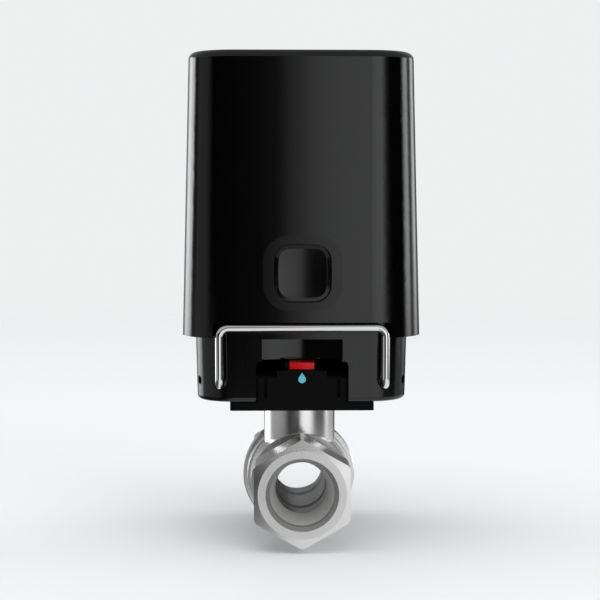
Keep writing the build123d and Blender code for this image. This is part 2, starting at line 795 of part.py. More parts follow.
with BuildPart() as chassis:
    loft([rounded_square(skirt_half(height), skirt_corner_radius, side_bulge, height)
          for height in (skirt_bottom, deck_top)], ruled=True)
    fillet(chassis.faces().sort_by(Axis.Z)[0].edges(), skirt_bottom_round)
    extrude(rounded_square(collar_half, collar_corner, cover_bulge, deck_top - cover_overlap / 2),
            amount=collar_height + cover_overlap / 2)
    loft([rounded_square(skirt_half(height) - skirt_wall, skirt_corner_radius - skirt_wall, side_bulge, height)
          for height in (skirt_bottom - overrun, deck_bottom)], ruled=True, mode=Mode.SUBTRACT)
    extrude(rounded_square(collar_inner_half, collar_corner - collar_wall, cover_bulge, deck_top),
            amount=collar_height + overrun, mode=Mode.SUBTRACT)
    # groove for the gasket round the collar
    groove_half = gasket_outer_half - gasket_width
    extrude(rounded_square(collar_half + overrun, collar_corner + overrun, cover_bulge,
                           gasket_bottom - face_gap), amount=gasket_height + 2 * face_gap,
            mode=Mode.SUBTRACT)
    extrude(rounded_square(groove_half - face_gap, collar_corner - gasket_width + collar_gap, cover_bulge,
                           gasket_bottom - 2 * face_gap), amount=gasket_height + 2 * 2 * face_gap)
    extrude(rounded_square(collar_inner_half, collar_corner - collar_wall, cover_bulge, deck_top),
            amount=collar_height + overrun, mode=Mode.SUBTRACT)
    # room for the bail's bar in front of the collar
    block((-bail_cutout_width / 2, bail_cutout_width / 2),
          (-2 * cover_bottom_half, bail_room),
          (cover_bottom, bail_bar_height + wire_radius + slip_clearance), mode=Mode.SUBTRACT)
    # scooped wall behind the window
    block((-window_width / 2 - scoop_wall, window_width / 2 + scoop_wall),
          (-skirt_inside - skirt_wall / 2, scoop_back), (scoop_bottom, deck_bottom))
    add(window_cut.part, mode=Mode.SUBTRACT)
    block((-window_width / 2, window_width / 2), (-2 * skirt_top_half, -skirt_inside + skirt_wall / 2),
          (window_step - overrun, window_top), mode=Mode.SUBTRACT)
    with BuildSketch(facing_front(-2 * skirt_top_half)) as window_foot:
        with Locations((0, (window_step + skirt_bottom - 2 * overrun) / 2)):
            RectangleRounded(window_foot_width, window_step - skirt_bottom + 2 * overrun, window_foot_corner)
    extrude(window_foot.sketch, amount=-(2 * skirt_top_half - skirt_inside + skirt_wall / 2), mode=Mode.SUBTRACT)
    # hub for the shaft's bush and seal
    post((0, 0), hub_radius, hub_bottom, deck_bottom)
    post((0, 0), shaft_seal_radius + running_clearance, hub_bottom - overrun,
         hub_bottom + shaft_seal_height + 2 * face_gap, mode=Mode.SUBTRACT)
    post((0, 0), journal_radius + running_clearance + bush_wall, hub_bottom, deck_top + overrun,
         mode=Mode.SUBTRACT)
    # ledges that rest on the adapter's rails
    for side in (-1, 1):
        for along in ledge_places:
            inner = skirt_half(rail_top) - skirt_wall - ledge_width
            block(sorted((side * inner, side * (inner + ledge_width + skirt_wall / 2))),
                  (along - ledge_length / 2, along + ledge_length / 2),
                  (rail_top + slip_clearance, deck_bottom))
        # holes for the bail's prong and, in the side, for a lanyard
        with BuildSketch(facing_front(-2 * skirt_top_half)) as prong_path:
            with Locations((side * bail_half, bail_prong_height)):
                Circle(prong_hole_radius)
        extrude(prong_path.sketch, amount=-2 * skirt_top_half, mode=Mode.SUBTRACT)
        corner_centre = skirt_half(side_hole_height) - side_bulge - skirt_corner_radius
        outwards = (side * sin(radians(side_hole_angle)), -cos(radians(side_hole_angle)), 0)
        with BuildSketch(Plane((side * corner_centre, -corner_centre, side_hole_height), z_dir=outwards)) as side_hole:
            Circle(side_hole_radius)
        extrude(side_hole.sketch, amount=skirt_corner_radius + overrun, mode=Mode.SUBTRACT)
    for place in cover_screw_places:
        post(place, large_screw_radius + screw_hole_play, deck_bottom - overrun, deck_top + overrun,
             mode=Mode.SUBTRACT)
    for place in lug_places:
        post(place, large_screw_radius + screw_hole_play, deck_bottom - overrun, deck_top + overrun,
             mode=Mode.SUBTRACT)
keep(chassis, "chassis")

with BuildPart() as cover_gasket:
    extrude(rounded_square(gasket_outer_half, collar_corner + collar_gap - gasket_gap, cover_bulge,
                           gasket_bottom), amount=gasket_height)
    extrude(rounded_square(gasket_outer_half - gasket_width, collar_corner + collar_gap - gasket_width,
                           cover_bulge, gasket_bottom - overrun), amount=gasket_height + 2 * overrun,
            mode=Mode.SUBTRACT)
keep(cover_gasket, "cover_gasket")

# Bail: one bent wire, a bar across the front, two legs, and two prongs that run back
with BuildPart() as bail:
    with BuildLine() as bail_path:
        FilletPolyline((-bail_half, prong_end, bail_prong_height), (-bail_half, -bail_plane, bail_prong_height),
                       (-bail_half, -bail_plane, bail_bar_height), (bail_half, -bail_plane, bail_bar_height),
                       (bail_half, -bail_plane, bail_prong_height), (bail_half, prong_end, bail_prong_height),
                       radius=(bail_foot_bend, bail_top_bend, bail_top_bend, bail_foot_bend))
    with BuildSketch(Plane((-bail_half, prong_end, bail_prong_height), z_dir=(0, -1, 0))) as wire_section:
        Circle(wire_radius)
    sweep(wire_section.sketch, path=bail_path.line)
keep(bail, "bail")

# Cover: drafted cup with crowned sides, button dish and collar, bail cut-out, and screw bosses
hole_width = button_width + 2 * button_gap
hole_tall = button_tall + 2 * button_gap
hole_corner = button_corner + button_gap
dish_floor = -button_face + dish_depth
cover_inside = -button_face + cover_wall
button_collar_back = cover_inside + button_collar_depth
seal_front = button_collar_back - button_seal_depth
with BuildPart() as cover_shell:
    loft([rounded_square(cover_half(height), cover_corner(height), cover_bulge, height)
          for height in (cover_bottom, cover_top)], ruled=True)
    fillet(cover_shell.faces().sort_by(Axis.Z)[-1].edges(), cover_top_round)
    loft([rounded_square(cover_half(height) - cover_wall, cover_corner(height) - cover_wall, cover_bulge,
                         height) for height in (cover_bottom - overrun, cover_top - cover_wall)],
         ruled=True, mode=Mode.SUBTRACT)
    front_plate(hole_width + 2 * button_collar_wall, hole_tall + 2 * button_collar_wall,
                hole_corner + button_collar_wall, cover_inside - cover_wall / 2, button_collar_back)
    # the dish: a fine step, then a floor that slopes in to the hole
    front_plate(dish_width, dish_tall, dish_corner, -button_face - overrun, -button_face + dish_edge_depth,
                mode=Mode.SUBTRACT)
    loft([button_outline(dish_width, dish_tall, dish_corner, -button_face + dish_edge_depth),
          button_outline(hole_width, hole_tall, hole_corner, dish_floor)], ruled=True, mode=Mode.SUBTRACT)
    front_plate(hole_width, hole_tall, hole_corner, -button_face - overrun, button_collar_back + overrun,
                mode=Mode.SUBTRACT)
    front_plate(hole_width + 2 * button_seal_width, hole_tall + 2 * button_seal_width,
                hole_corner + button_seal_width, seal_front, button_collar_back + overrun, mode=Mode.SUBTRACT)
    # cut-out for the bail in the front edge
    with BuildSketch(facing_front(-2 * cover_bottom_half)) as cutout:
        with Locations((0, cover_bottom + bail_cutout_height / 2 - overrun / 2)):
            RectangleRounded(bail_cutout_width, bail_cutout_height + overrun, bail_cutout_corner)
    extrude(cutout.sketch, amount=-(cover_bottom_half + bail_cutout_depth), mode=Mode.SUBTRACT)
    # corner bosses on webs above the collar
    boss_bottom = deck_top + face_gap
    boss_top = deck_top + cover_boss_height
    web_bottom = collar_top + slip_clearance
    corner_reach = (cover_half(boss_top) - cover_corner(boss_top)) * sqrt(2) + cover_corner(boss_top)
    for place in cover_screw_places:
        post(place, cover_boss_radius, boss_bottom, boss_top)
        web_start = hypot(*place)
        web_length = corner_reach - cover_wall / 2 - web_start
        turn = Location((0, 0, web_bottom), (0, 0, degrees(atan2(place[1], place[0]))))
        with Locations(turn):
            with Locations((web_start, 0, 0)):
                Box(web_length, cover_web_width, boss_top - web_bottom,
                    align=(Align.MIN, Align.CENTER, Align.MIN))
    for place in cover_screw_places:
        post(place, large_screw_radius, boss_bottom - overrun, boss_top - face_gap, mode=Mode.SUBTRACT)
keep(cover_shell, "cover_shell")

with BuildPart() as cover_screws:
    for place in cover_screw_places:
        screw(place, large_head_radius, large_head_height, large_screw_radius, cover_screw_length, deck_bottom,
              upwards=True)
keep(cover_screws, "cover_screws")

# Button: cap with a sloping border and a hollowed pad, a flange behind the cover's collar, and a seal
cap_front = dish_floor - button_proud
flange_front = button_collar_back + face_gap
flange_back = flange_front + button_flange_thickness
pad_radius = (pad_reach ** 2 / pad_hollow + pad_hollow) / 2
with BuildPart() as button_pad:
    front_plate(button_width - 2 * pad_border, button_tall - 2 * pad_border, pad_corner,
                cap_front - overrun, cap_front + overrun)
    with Locations(button_axis(cap_front + pad_hollow - pad_radius)):
        Sphere(pad_radius, mode=Mode.INTERSECT)

with BuildPart() as button_cap:
    loft([button_outline(button_width - 2 * button_border, button_tall - 2 * button_border,
                         button_corner - button_border / 2, cap_front),
          button_outline(button_width, button_tall, button_corner, cap_front + button_border_drop)], ruled=True)
    front_plate(button_width, button_tall, button_corner, cap_front + button_border_drop, flange_back)
    front_plate(button_width + 2 * button_flange_margin, button_tall + 2 * button_flange_margin,
                button_corner + button_flange_margin, flange_front, flange_back)
    add(button_pad.part, mode=Mode.SUBTRACT)
keep(button_cap, "button_cap")

with BuildPart() as button_seal:
    front_plate(hole_width + 2 * button_seal_width, hole_tall + 2 * button_seal_width,
                hole_corner + button_seal_width, seal_front, button_collar_back)
    front_plate(hole_width, hole_tall, hole_corner, seal_front - overrun, button_collar_back + overrun,
                mode=Mode.SUBTRACT)
keep(button_seal, "button_seal")

# Output shaft: square socket over the stem, long journal, square for the gear, upper journal
socket_bottom = adapter_floor + socket_gap
socket_top = stem_square_top + slip_clearance
journal_bottom = arm_top
square_bottom = deck_top + slip_clearance
with BuildPart() as output_shaft:
    post((0, 0), socket_radius, socket_bottom, journal_bottom)
    post((0, 0), journal_radius, journal_bottom, square_bottom)
    half_drive = square_drive / 2
    block((-half_drive, half_drive), (-half_drive, half_drive), (square_bottom, output_gear_top))
    post((0, 0), upper_journal_radius, output_gear_top, lid_top - axle_seat)
    half_socket = stem_square / 2 + socket_play
    block((-half_socket, half_socket), (-half_socket, half_socket), (socket_bottom - overrun, socket_top),
          mode=Mode.SUBTRACT)
keep(output_shaft, "output_shaft")

# Position indicator: a hub on the shaft and an arm whose tip shows in the window while the valve is open
with BuildPart() as position_indicator:
    post((0, 0), arm_reach, arm_bottom, arm_top)
    block((-arm_width / 2, arm_width / 2), (-arm_reach, 0), (arm_bottom, arm_top), mode=Mode.INTERSECT)
    post((0, 0), arm_hub_radius, arm_bottom, arm_top)
    post((0, 0), socket_radius + running_clearance, arm_bottom - overrun, arm_top + overrun,
         mode=Mode.SUBTRACT)
keep(position_indicator, "position_indicator")

with BuildPart() as shaft_bush:
    bush_inner = journal_radius + running_clearance
    bush_bottom = hub_bottom + shaft_seal_height + 2 * face_gap
    turn_upright([(bush_inner, bush_bottom), (bush_inner + bush_wall, bush_bottom),
                  (bush_inner + bush_wall, deck_top), (bush_flange_radius, deck_top),
                  (bush_flange_radius, deck_top + bush_flange_thickness),
                  (bush_inner, deck_top + bush_flange_thickness)])
keep(shaft_bush, "shaft_bush")

with BuildPart() as shaft_seal:
    turn_upright(tube_points(journal_radius + running_clearance, shaft_seal_radius, hub_bottom + face_gap,
                             hub_bottom + face_gap + shaft_seal_height))
keep(shaft_seal, "shaft_seal")

# Output gear with its square hole and the pocket for the position magnet
magnet_place = step_from((0, 0), magnet_circle_radius, 45)
with BuildPart() as output_gear:
    gear(output_axis, output_teeth, coarse_module, 0, output_gear_bottom, output_gear_top)
    half_hole = square_drive / 2 + running_clearance
    block((-half_hole, half_hole), (-half_hole, half_hole),
          (output_gear_bottom - overrun, output_gear_top + overrun), mode=Mode.SUBTRACT)
    post(magnet_place, magnet_radius, output_gear_top - magnet_thickness, output_gear_top + overrun,
         mode=Mode.SUBTRACT)
keep(output_gear, "output_gear")

with BuildPart() as position_magnet:
    post(magnet_place, magnet_radius, output_gear_top - magnet_thickness, output_gear_top)
keep(position_magnet, "position_magnet")

# Second compound gear: its pinion drives the output gear
with BuildPart() as second_gear:
    gear(second_axis, pinion_teeth, coarse_module, second_pinion_first, output_gear_bottom,
         second_wheel_bottom)
    gear(second_axis, second_wheel_teeth, fine_module, 0, second_wheel_bottom, second_wheel_top)
    post(second_axis, second_axle_radius + running_clearance, output_gear_bottom - overrun,
         second_wheel_top + overrun, mode=Mode.SUBTRACT)
keep(second_gear, "second_gear")

# First compound gear: driven by the motor's pinion
with BuildPart() as first_gear:
    gear(first_axis, pinion_teeth, fine_module, first_pinion_first, second_wheel_bottom, first_wheel_bottom)
    gear(first_axis, first_wheel_teeth, fine_module, 0, first_wheel_bottom, first_wheel_top)
    post(first_axis, first_axle_radius + running_clearance, second_wheel_bottom - overrun,
         first_wheel_top + overrun, mode=Mode.SUBTRACT)
keep(first_gear, "first_gear")

pinion_bottom = first_wheel_bottom - face_gap
pinion_top = case_top - gear_gap / 2
with BuildPart() as motor_pinion:
    gear(motor_axis, pinion_teeth, fine_module, motor_pinion_first, pinion_bottom, pinion_top)
    post(motor_axis, motor_shaft_radius, pinion_bottom - overrun, pinion_top + overrun, mode=Mode.SUBTRACT)
keep(motor_pinion, "motor_pinion")

with BuildPart() as motor_shaft:
    post(motor_axis, motor_shaft_radius, pinion_bottom, lid_top + motor_shaft_depth)
keep(motor_shaft, "motor_shaft")

# Gear case: one round bay for each gear, joined, with screw lugs
second_floor = second_wheel_bottom - case_floor / 2
first_floor = first_wheel_bottom - gear_gap
bays = (
    (output_axis, tip_radius_of(output_pitch_radius, coarse_module), case_floor_top),
    (second_axis, tip_radius_of(second_pinion_pitch_radius, coarse_module), case_floor_top),
    (second_axis, tip_radius_of(second_wheel_pitch_radius, fine_module), second_floor),
    (first_axis, tip_radius_of(fine_pinion_pitch_radius, fine_module), second_floor),
    (first_axis, tip_radius_of(first_wheel_pitch_radius, fine_module), first_floor),
    (motor_axis, tip_radius_of(fine_pinion_pitch_radius, fine_module), first_floor),
)
second_axle_bottom = case_floor_top - axle_seat
first_axle_bottom = second_floor - axle_seat
with BuildPart() as gear_case:
    for place, gear_radius, floor in bays:
        post(place, gear_radius + case_gear_gap + case_wall, floor - case_floor, case_top)
    for place in lug_places:
        post(place, lug_radius, deck_top, case_top)
    for place, gear_radius, floor in bays:
        post(place, gear_radius + case_gear_gap, floor, case_top + overrun, mode=Mode.SUBTRACT)
    post(output_axis, bush_flange_radius + face_gap, deck_top - overrun, case_floor_top + overrun,
         mode=Mode.SUBTRACT)
    post(second_axis, second_axle_radius, second_axle_bottom, case_floor_top + overrun, mode=Mode.SUBTRACT)
    post(first_axis, first_axle_radius, first_axle_bottom, second_floor + overrun, mode=Mode.SUBTRACT)
    for place in lug_places:
        post(place, large_screw_radius, deck_top - overrun,
             deck_bottom + large_screw_length + face_gap, mode=Mode.SUBTRACT)
        post(place, small_screw_radius, lid_top - small_screw_length, case_top + overrun, mode=Mode.SUBTRACT)
keep(gear_case, "gear_case")

# Lid of the gear case, which also carries the motor and the upper bush
upper_bush_radius = upper_journal_radius + running_clearance + bush_wall
motor_screw_places = [step_from(motor_axis, motor_screw_circle_radius, motor_screw_angle + 180 * half)
                      for half in range(2)]
with BuildPart() as gear_case_lid:
    for place, gear_radius, floor in bays:
        post(place, gear_radius + case_gear_gap + case_wall, case_top, lid_top)
    post(motor_axis, motor_radius, case_top, lid_top)
    for place in lug_places:
        post(place, lug_radius, case_top, lid_top)
    post(output_axis, upper_bush_radius, case_top - overrun, lid_top + overrun, mode=Mode.SUBTRACT)
    post(motor_axis, motor_pilot_radius, case_top - overrun, lid_top + overrun, mode=Mode.SUBTRACT)
    post(second_axis, second_axle_radius, case_top - overrun, lid_top - axle_seat, mode=Mode.SUBTRACT)
    post(first_axis, first_axle_radius, case_top - overrun, lid_top - axle_seat, mode=Mode.SUBTRACT)
    for place in lug_places:
        countersink(place, small_head_radius, small_screw_radius, lid_top, lid_thickness)
    for place in motor_screw_places:
        countersink(place, tiny_head_radius, tiny_screw_radius, case_top, lid_thickness, upwards=True)
    for place in carrier_screw_places:
        post(place, small_screw_radius, case_top - overrun, lid_top + overrun, mode=Mode.SUBTRACT)
keep(gear_case_lid, "gear_case_lid")

with BuildPart() as upper_bush:
    turn_upright(tube_points(upper_journal_radius + running_clearance, upper_bush_radius, case_top, lid_top))
keep(upper_bush, "upper_bush")

with BuildPart() as gear_axles:
    post(second_axis, second_axle_radius, second_axle_bottom, lid_top - axle_seat)
    post(first_axis, first_axle_radius, first_axle_bottom, lid_top - axle_seat)
keep(gear_axles, "gear_axles")

with BuildPart() as gear_case_screws:
    for place in lug_places:
        screw(place, large_head_radius, large_head_height, large_screw_radius, large_screw_length,
              deck_bottom, upwards=True)
keep(gear_case_screws, "gear_case_screws")

with BuildPart() as lid_screws:
    for place in lug_places:
        countersunk_screw(place, small_head_radius, small_screw_radius, small_screw_length, lid_top)
keep(lid_screws, "lid_screws")

# Sensor board under the lid, with a sensor for each end of the quarter turn
sensor_side = magnet_circle_radius * cos(radians(45))
sensor_board_bottom = case_top - sensor_board_thickness
with BuildPart() as sensor_board:
    block((sensor_side - sensor_board_width / 2, sensor_side + sensor_board_width / 2),
          (-sensor_board_length / 2, sensor_board_length / 2), (sensor_board_bottom, case_top))
    for side in (-1, 1):
        block((sensor_side - sensor_size / 2, sensor_side + sensor_size / 2),
              (side * sensor_side - sensor_size / 2, side * sensor_side + sensor_size / 2),
              (sensor_board_bottom - sensor_thickness, sensor_board_bottom))
keep(sensor_board, "sensor_board")

# Geared motor: gearhead, can with a rolled edge, pilot in the lid, and two tabs for its leads
gearhead_top = lid_top + gearhead_length
can_top = gearhead_top + motor_can_length
tab_top = can_top + motor_tab_height
with BuildPart() as gear_motor:
    post(motor_axis, motor_radius, lid_top, gearhead_top)
    post(motor_axis, motor_can_radius, gearhead_top, can_top)
    fillet(gear_motor.edges().filter_by(GeomType.CIRCLE).sort_by(Axis.Z)[-1], motor_tab_width / 2)
    post(motor_axis, motor_pilot_radius - running_clearance, case_top + lid_thickness / 4, lid_top)
    post(motor_axis, motor_shaft_radius + running_clearance, case_top - overrun,
         lid_top + motor_shaft_depth + face_gap, mode=Mode.SUBTRACT)
    for side in (-1, 1):
        middle = motor_axis[0] + side * motor_tab_spread
        block((middle - motor_tab_thickness / 2, middle + motor_tab_thickness / 2),
              (motor_axis[1] - motor_tab_width / 2, motor_axis[1] + motor_tab_width / 2),
              (can_top - face_gap, tab_top))
    for place in motor_screw_places:
        post(place, tiny_screw_radius, lid_top - face_gap, case_top + tiny_screw_length + face_gap,
             mode=Mode.SUBTRACT)
keep(gear_motor, "gear_motor")

with BuildPart() as motor_screws:
    for place in motor_screw_places:
        countersunk_screw(place, tiny_head_radius, tiny_screw_radius, tiny_screw_length, case_top,
                          upwards=True)
keep(motor_screws, "motor_screws")

# Carrier: floor on the lid, four wells for the cells, a middle post and two posts for the board
well_low, well_high = cell_centre - well_reach, cell_centre + well_reach
well_top = carrier_top + well_height
board_half = board_width / 2
board_post_top = lid_top + board_post_height
with BuildPart() as battery_carrier:
    with BuildSketch(Plane.XY.offset(lid_top)) as wells:
        with Locations((cell_centre, cell_centre)):
            RectangleRounded(2 * well_reach, 2 * well_reach, well_radius + well_wall)
    extrude(wells.sketch, amount=carrier_floor + well_height)
    block((-board_half, board_half), (-board_back, -well_reach / 2), (lid_top, carrier_top))
    block((well_low, board_half), (-well_reach / 2, 0), (lid_top, carrier_top))
    for side in (-1, 1):
        block(sorted((side * board_half, side * (board_half - board_post_width))),
              (-board_back, -board_back + board_post_depth), (lid_top, board_post_top))
    for place in cell_places:
        post(place, well_radius, carrier_top, well_top + overrun, mode=Mode.SUBTRACT)
    for side in (-1, 1):
        column = cell_centre + side * cell_pitch / 2
        block((column - pad_width / 2, column + pad_width / 2),
              (cell_centre - cell_pitch / 2, cell_centre + cell_pitch / 2), (carrier_top, cell_bottom),
              mode=Mode.SUBTRACT)
    post((cell_centre, cell_centre), carrier_post_radius, carrier_top, cap_bottom)
    post((cell_centre, cell_centre), small_screw_radius, cap_top - small_screw_length, cap_bottom + overrun,
         mode=Mode.SUBTRACT)
    for place in carrier_screw_places:
        post(place, small_screw_radius + screw_hole_play, lid_top - overrun, carrier_top + overrun,
             mode=Mode.SUBTRACT)
    for side in (-1, 1):
        for rise in board_screw_rises:
            with BuildSketch(facing_front(-board_back - overrun)) as board_hole:
                with Locations((side * board_screw_spread, deck_top + rise)):
                    Circle(small_screw_radius)
            extrude(board_hole.sketch, amount=-(overrun + board_post_depth), mode=Mode.SUBTRACT)
keep(battery_carrier, "battery_carrier")

with BuildPart() as carrier_screws:
    for place in carrier_screw_places:
        screw(place, small_head_radius, small_head_height, small_screw_radius, short_screw_length, carrier_top)
keep(carrier_screws, "carrier_screws")

# Cells: the nub is up in one diagonal pair and down in the other
for number, place in enumerate(cell_places, start=1):
    nub_up = number in (1, 4)
    low = cell_bottom if nub_up else cell_bottom + cell_nub_height
    nub = (low + cell_length, cell_top) if nub_up else (cell_bottom, low)
    with BuildPart() as cell:
        post(place, cell_radius, low, low + cell_length)
        fillet(cell.edges().filter_by(GeomType.CIRCLE), cell_nub_height / 2)
        post(place, cell_nub_radius, *nub)
    keep(cell, f"battery_{number}")

# Lower contacts: a strip under each column of cells, with a folded leaf under each cell
with BuildPart() as lower_contacts:
    for side in (-1, 1):
        column = cell_centre + side * cell_pitch / 2
        block((column - contact_width / 2, column + contact_width / 2),
              (cell_centre - cell_pitch / 2, cell_centre + cell_pitch / 2),
              (carrier_top, carrier_top + contact_strip))
    leaf_height = contact_height - face_gap / 2
    leaf_half = contact_length / 2
    for place in cell_places:
        with BuildSketch(Plane.YZ.offset(place[0] - contact_width / 2)) as leaf:
            with Locations((place[1], carrier_top)):
                Rectangle(contact_length, leaf_height, align=(Align.CENTER, Align.MIN))
            with Locations((place[1] + contact_strip, carrier_top + contact_strip)):
                Rectangle(contact_length, leaf_height - 2 * contact_strip, align=(Align.CENTER, Align.MIN),
                          mode=Mode.SUBTRACT)
        extrude(leaf.sketch, amount=contact_width)
keep(lower_contacts, "lower_contacts")

# Upper contacts: a bridge over the back cells, and a pad with a tab on each front cell
front_row = cell_centre - cell_pitch / 2
back_row = cell_centre + cell_pitch / 2
tab_front = well_low - contact_strip
tab_bottom = cap_bottom - 2 * contact_width / 2
with BuildPart() as upper_contacts:
    block((front_row - pad_width / 2, back_row + pad_width / 2),
          (back_row - pad_width / 2, back_row + pad_width / 2), (upper_contact_bottom, cap_bottom))
    for column in (front_row, back_row):
        block((column - pad_width / 2, column + pad_width / 2), (tab_front, front_row + pad_width / 2),
              (upper_contact_bottom, cap_bottom))
        block((column - pad_width / 2, column + pad_width / 2), (tab_front, tab_front + contact_strip),
              (tab_bottom, cap_bottom))
keep(upper_contacts, "upper_contacts")

cap_width = cell_pitch + 2 * cell_radius
with BuildPart() as battery_cap:
    with BuildSketch(Plane.XY.offset(cap_bottom)) as cap_outline:
        with Locations((cell_centre, cell_centre)):
            RectangleRounded(cap_width, cap_width, cell_radius)
    extrude(cap_outline.sketch, amount=cap_thickness)
    post((cell_centre, cell_centre), small_screw_radius + screw_hole_play, cap_bottom - overrun,
         cap_top + overrun, mode=Mode.SUBTRACT)
keep(battery_cap, "battery_cap")

with BuildPart() as battery_cap_screw:
    screw((cell_centre, cell_centre), small_head_radius, small_head_height, small_screw_radius,
          small_screw_length, cap_top)
keep(battery_cap_screw, "battery_cap_screw")

# Control board, upright behind the button
board_span = (board_bottom, board_bottom + board_height)
with BuildPart() as control_board:
    block((-board_half, board_half), (-board_front, -board_back), board_span)
    for side in (-1, 1):
        for rise in board_screw_rises:
            with BuildSketch(facing_front(-board_front - overrun)) as board_hole:
                with Locations((side * board_screw_spread, deck_top + rise)):
                    Circle(small_screw_radius + screw_hole_play)
            extrude(board_hole.sketch, amount=-(board_thickness + 2 * overrun), mode=Mode.SUBTRACT)
keep(control_board, "control_board")

with BuildPart() as board_screws:
    for side in (-1, 1):
        for rise in board_screw_rises:
            with BuildSketch(facing_front(-board_front)) as head:
                with Locations((side * board_screw_spread, deck_top + rise)):
                    Circle(small_head_radius)
                    RegularPolygon(small_head_radius * key_share, 6, mode=Mode.SUBTRACT)
            extrude(head.sketch, amount=small_head_height)
            with BuildSketch(facing_front(-board_front - small_head_height * (1 - key_depth_share))) as shank:
                with Locations((side * board_screw_spread, deck_top + rise)):
                    Circle(small_screw_radius)
            extrude(shank.sketch, amount=-(small_head_height * (1 - key_depth_share) + short_screw_length))
keep(board_screws, "board_screws")

# Tact switch with its plunger just behind the button's flange
switch_front = -board_front - switch_depth
plunger_front = flange_back + button_play
plunger_back = plunger_front + plunger_length + button_travel
with BuildPart() as tact_switch:
    block((-switch_size / 2, switch_size / 2), (switch_front, -board_front),
          (button_height - switch_size / 2, button_height + switch_size / 2))
    with BuildSketch(facing_front(switch_front - overrun)) as plunger_hole:
        with Locations((0, button_height)):
            Circle(plunger_radius + running_clearance)
    extrude(plunger_hole.sketch, amount=-(plunger_back + button_travel + face_gap - switch_front + overrun),
            mode=Mode.SUBTRACT)
keep(tact_switch, "tact_switch")

with BuildPart() as switch_plunger:
    with BuildSketch(facing_front(plunger_front)) as plunger:
        with Locations((0, button_height)):
            Circle(plunger_radius)
    extrude(plunger.sketch, amount=-(plunger_back - plunger_front))
keep(switch_plunger, "switch_plunger")

# Radio module, chips and connectors on the board
with BuildPart() as radio_module:
    block((-radio_width / 2, radio_width / 2), (-board_front - radio_thickness, -board_front),
          (deck_top + radio_rise, deck_top + radio_rise + radio_height))
    fillet(radio_module.edges().filter_by(Axis.Y), contact_strip)
keep(radio_module, "radio_module")

with BuildPart() as board_chips:
    for side in (-1, 1):
        block((side * board_screw_spread / 2 - chip_size / 2, side * board_screw_spread / 2 + chip_size / 2),
              (-board_front - chip_thickness, -board_front),
              (board_bottom + face_gap, board_bottom + face_gap + chip_size))
keep(board_chips, "board_chips")

connector_bottom = deck_top + connector_rise - connector_height
connector_top = deck_top + connector_rise
with BuildPart() as board_connectors:
    for side in (-1, 1):
        block((side * connector_spread - connector_width / 2, side * connector_spread + connector_width / 2),
              (-board_back, -board_back + connector_depth), (connector_bottom, connector_top))
keep(board_connectors, "board_connectors")

# Leads: from the motor's tabs, and from the upper contacts' tabs, to the connectors
lead_row = -board_back + connector_depth / 2
lead_pitch = connector_width / 4


def lead(points, radii):
    with BuildLine() as lead_path:
        FilletPolyline(*points, radius=radii)
    start, along = points[0], Vector(*points[1]) - Vector(*points[0])
    with BuildSketch(Plane(start, z_dir=along)) as lead_section:
        Circle(lead_radius)
    sweep(lead_section.sketch, path=lead_path.line)


with BuildPart() as motor_leads:
    for side in (-1, 1):
        tab = motor_axis[0] + side * motor_tab_spread
        level = tab_top + lead_bend * (2 - side / 2)
        entry = -connector_spread + side * lead_pitch
        lead([(tab, motor_axis[1], tab_top), (tab, motor_axis[1], level), (entry, lead_row, level),
              (entry, lead_row, connector_top)], (lead_bend, lead_bend))
keep(motor_leads, "motor_leads")

with BuildPart() as battery_leads:
    for side, column in ((-1, front_row), (1, back_row)):
        entry = connector_spread + side * lead_pitch
        start_place = tab_front - lead_radius - face_gap / 2
        bend_level = connector_top + 2 * 2 * lead_bend
        lead([(column, start_place, tab_bottom + contact_width / 2), (column, start_place, bend_level),
              (entry, lead_row, bend_level - lead_bend), (entry, lead_row, connector_top)],
             (lead_bend, lead_bend))
keep(battery_leads, "battery_leads")
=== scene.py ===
import json
import math

import bpy
import numpy as np
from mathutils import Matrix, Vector


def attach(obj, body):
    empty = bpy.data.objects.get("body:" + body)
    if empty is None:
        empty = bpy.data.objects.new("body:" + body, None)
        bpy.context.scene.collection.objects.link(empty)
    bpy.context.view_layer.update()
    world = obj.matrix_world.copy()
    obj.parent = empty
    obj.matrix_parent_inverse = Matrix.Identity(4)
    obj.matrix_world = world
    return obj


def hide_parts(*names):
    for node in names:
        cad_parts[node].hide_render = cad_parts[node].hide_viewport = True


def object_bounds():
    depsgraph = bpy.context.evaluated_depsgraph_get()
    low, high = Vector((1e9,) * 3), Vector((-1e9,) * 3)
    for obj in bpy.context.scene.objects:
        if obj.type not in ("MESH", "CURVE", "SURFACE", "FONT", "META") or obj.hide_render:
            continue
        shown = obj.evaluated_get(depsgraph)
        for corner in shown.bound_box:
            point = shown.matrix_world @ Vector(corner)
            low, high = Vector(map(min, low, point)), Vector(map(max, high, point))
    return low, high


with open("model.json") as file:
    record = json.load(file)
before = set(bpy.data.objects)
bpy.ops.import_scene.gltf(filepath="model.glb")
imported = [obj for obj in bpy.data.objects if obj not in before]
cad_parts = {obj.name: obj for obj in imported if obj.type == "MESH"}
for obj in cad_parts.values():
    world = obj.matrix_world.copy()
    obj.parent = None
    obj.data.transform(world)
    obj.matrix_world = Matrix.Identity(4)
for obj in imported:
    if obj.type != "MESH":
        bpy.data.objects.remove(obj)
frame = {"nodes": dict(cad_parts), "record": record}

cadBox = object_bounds()
nodes = frame["nodes"]
print("stage: frame loaded,", len(nodes), "nodes")

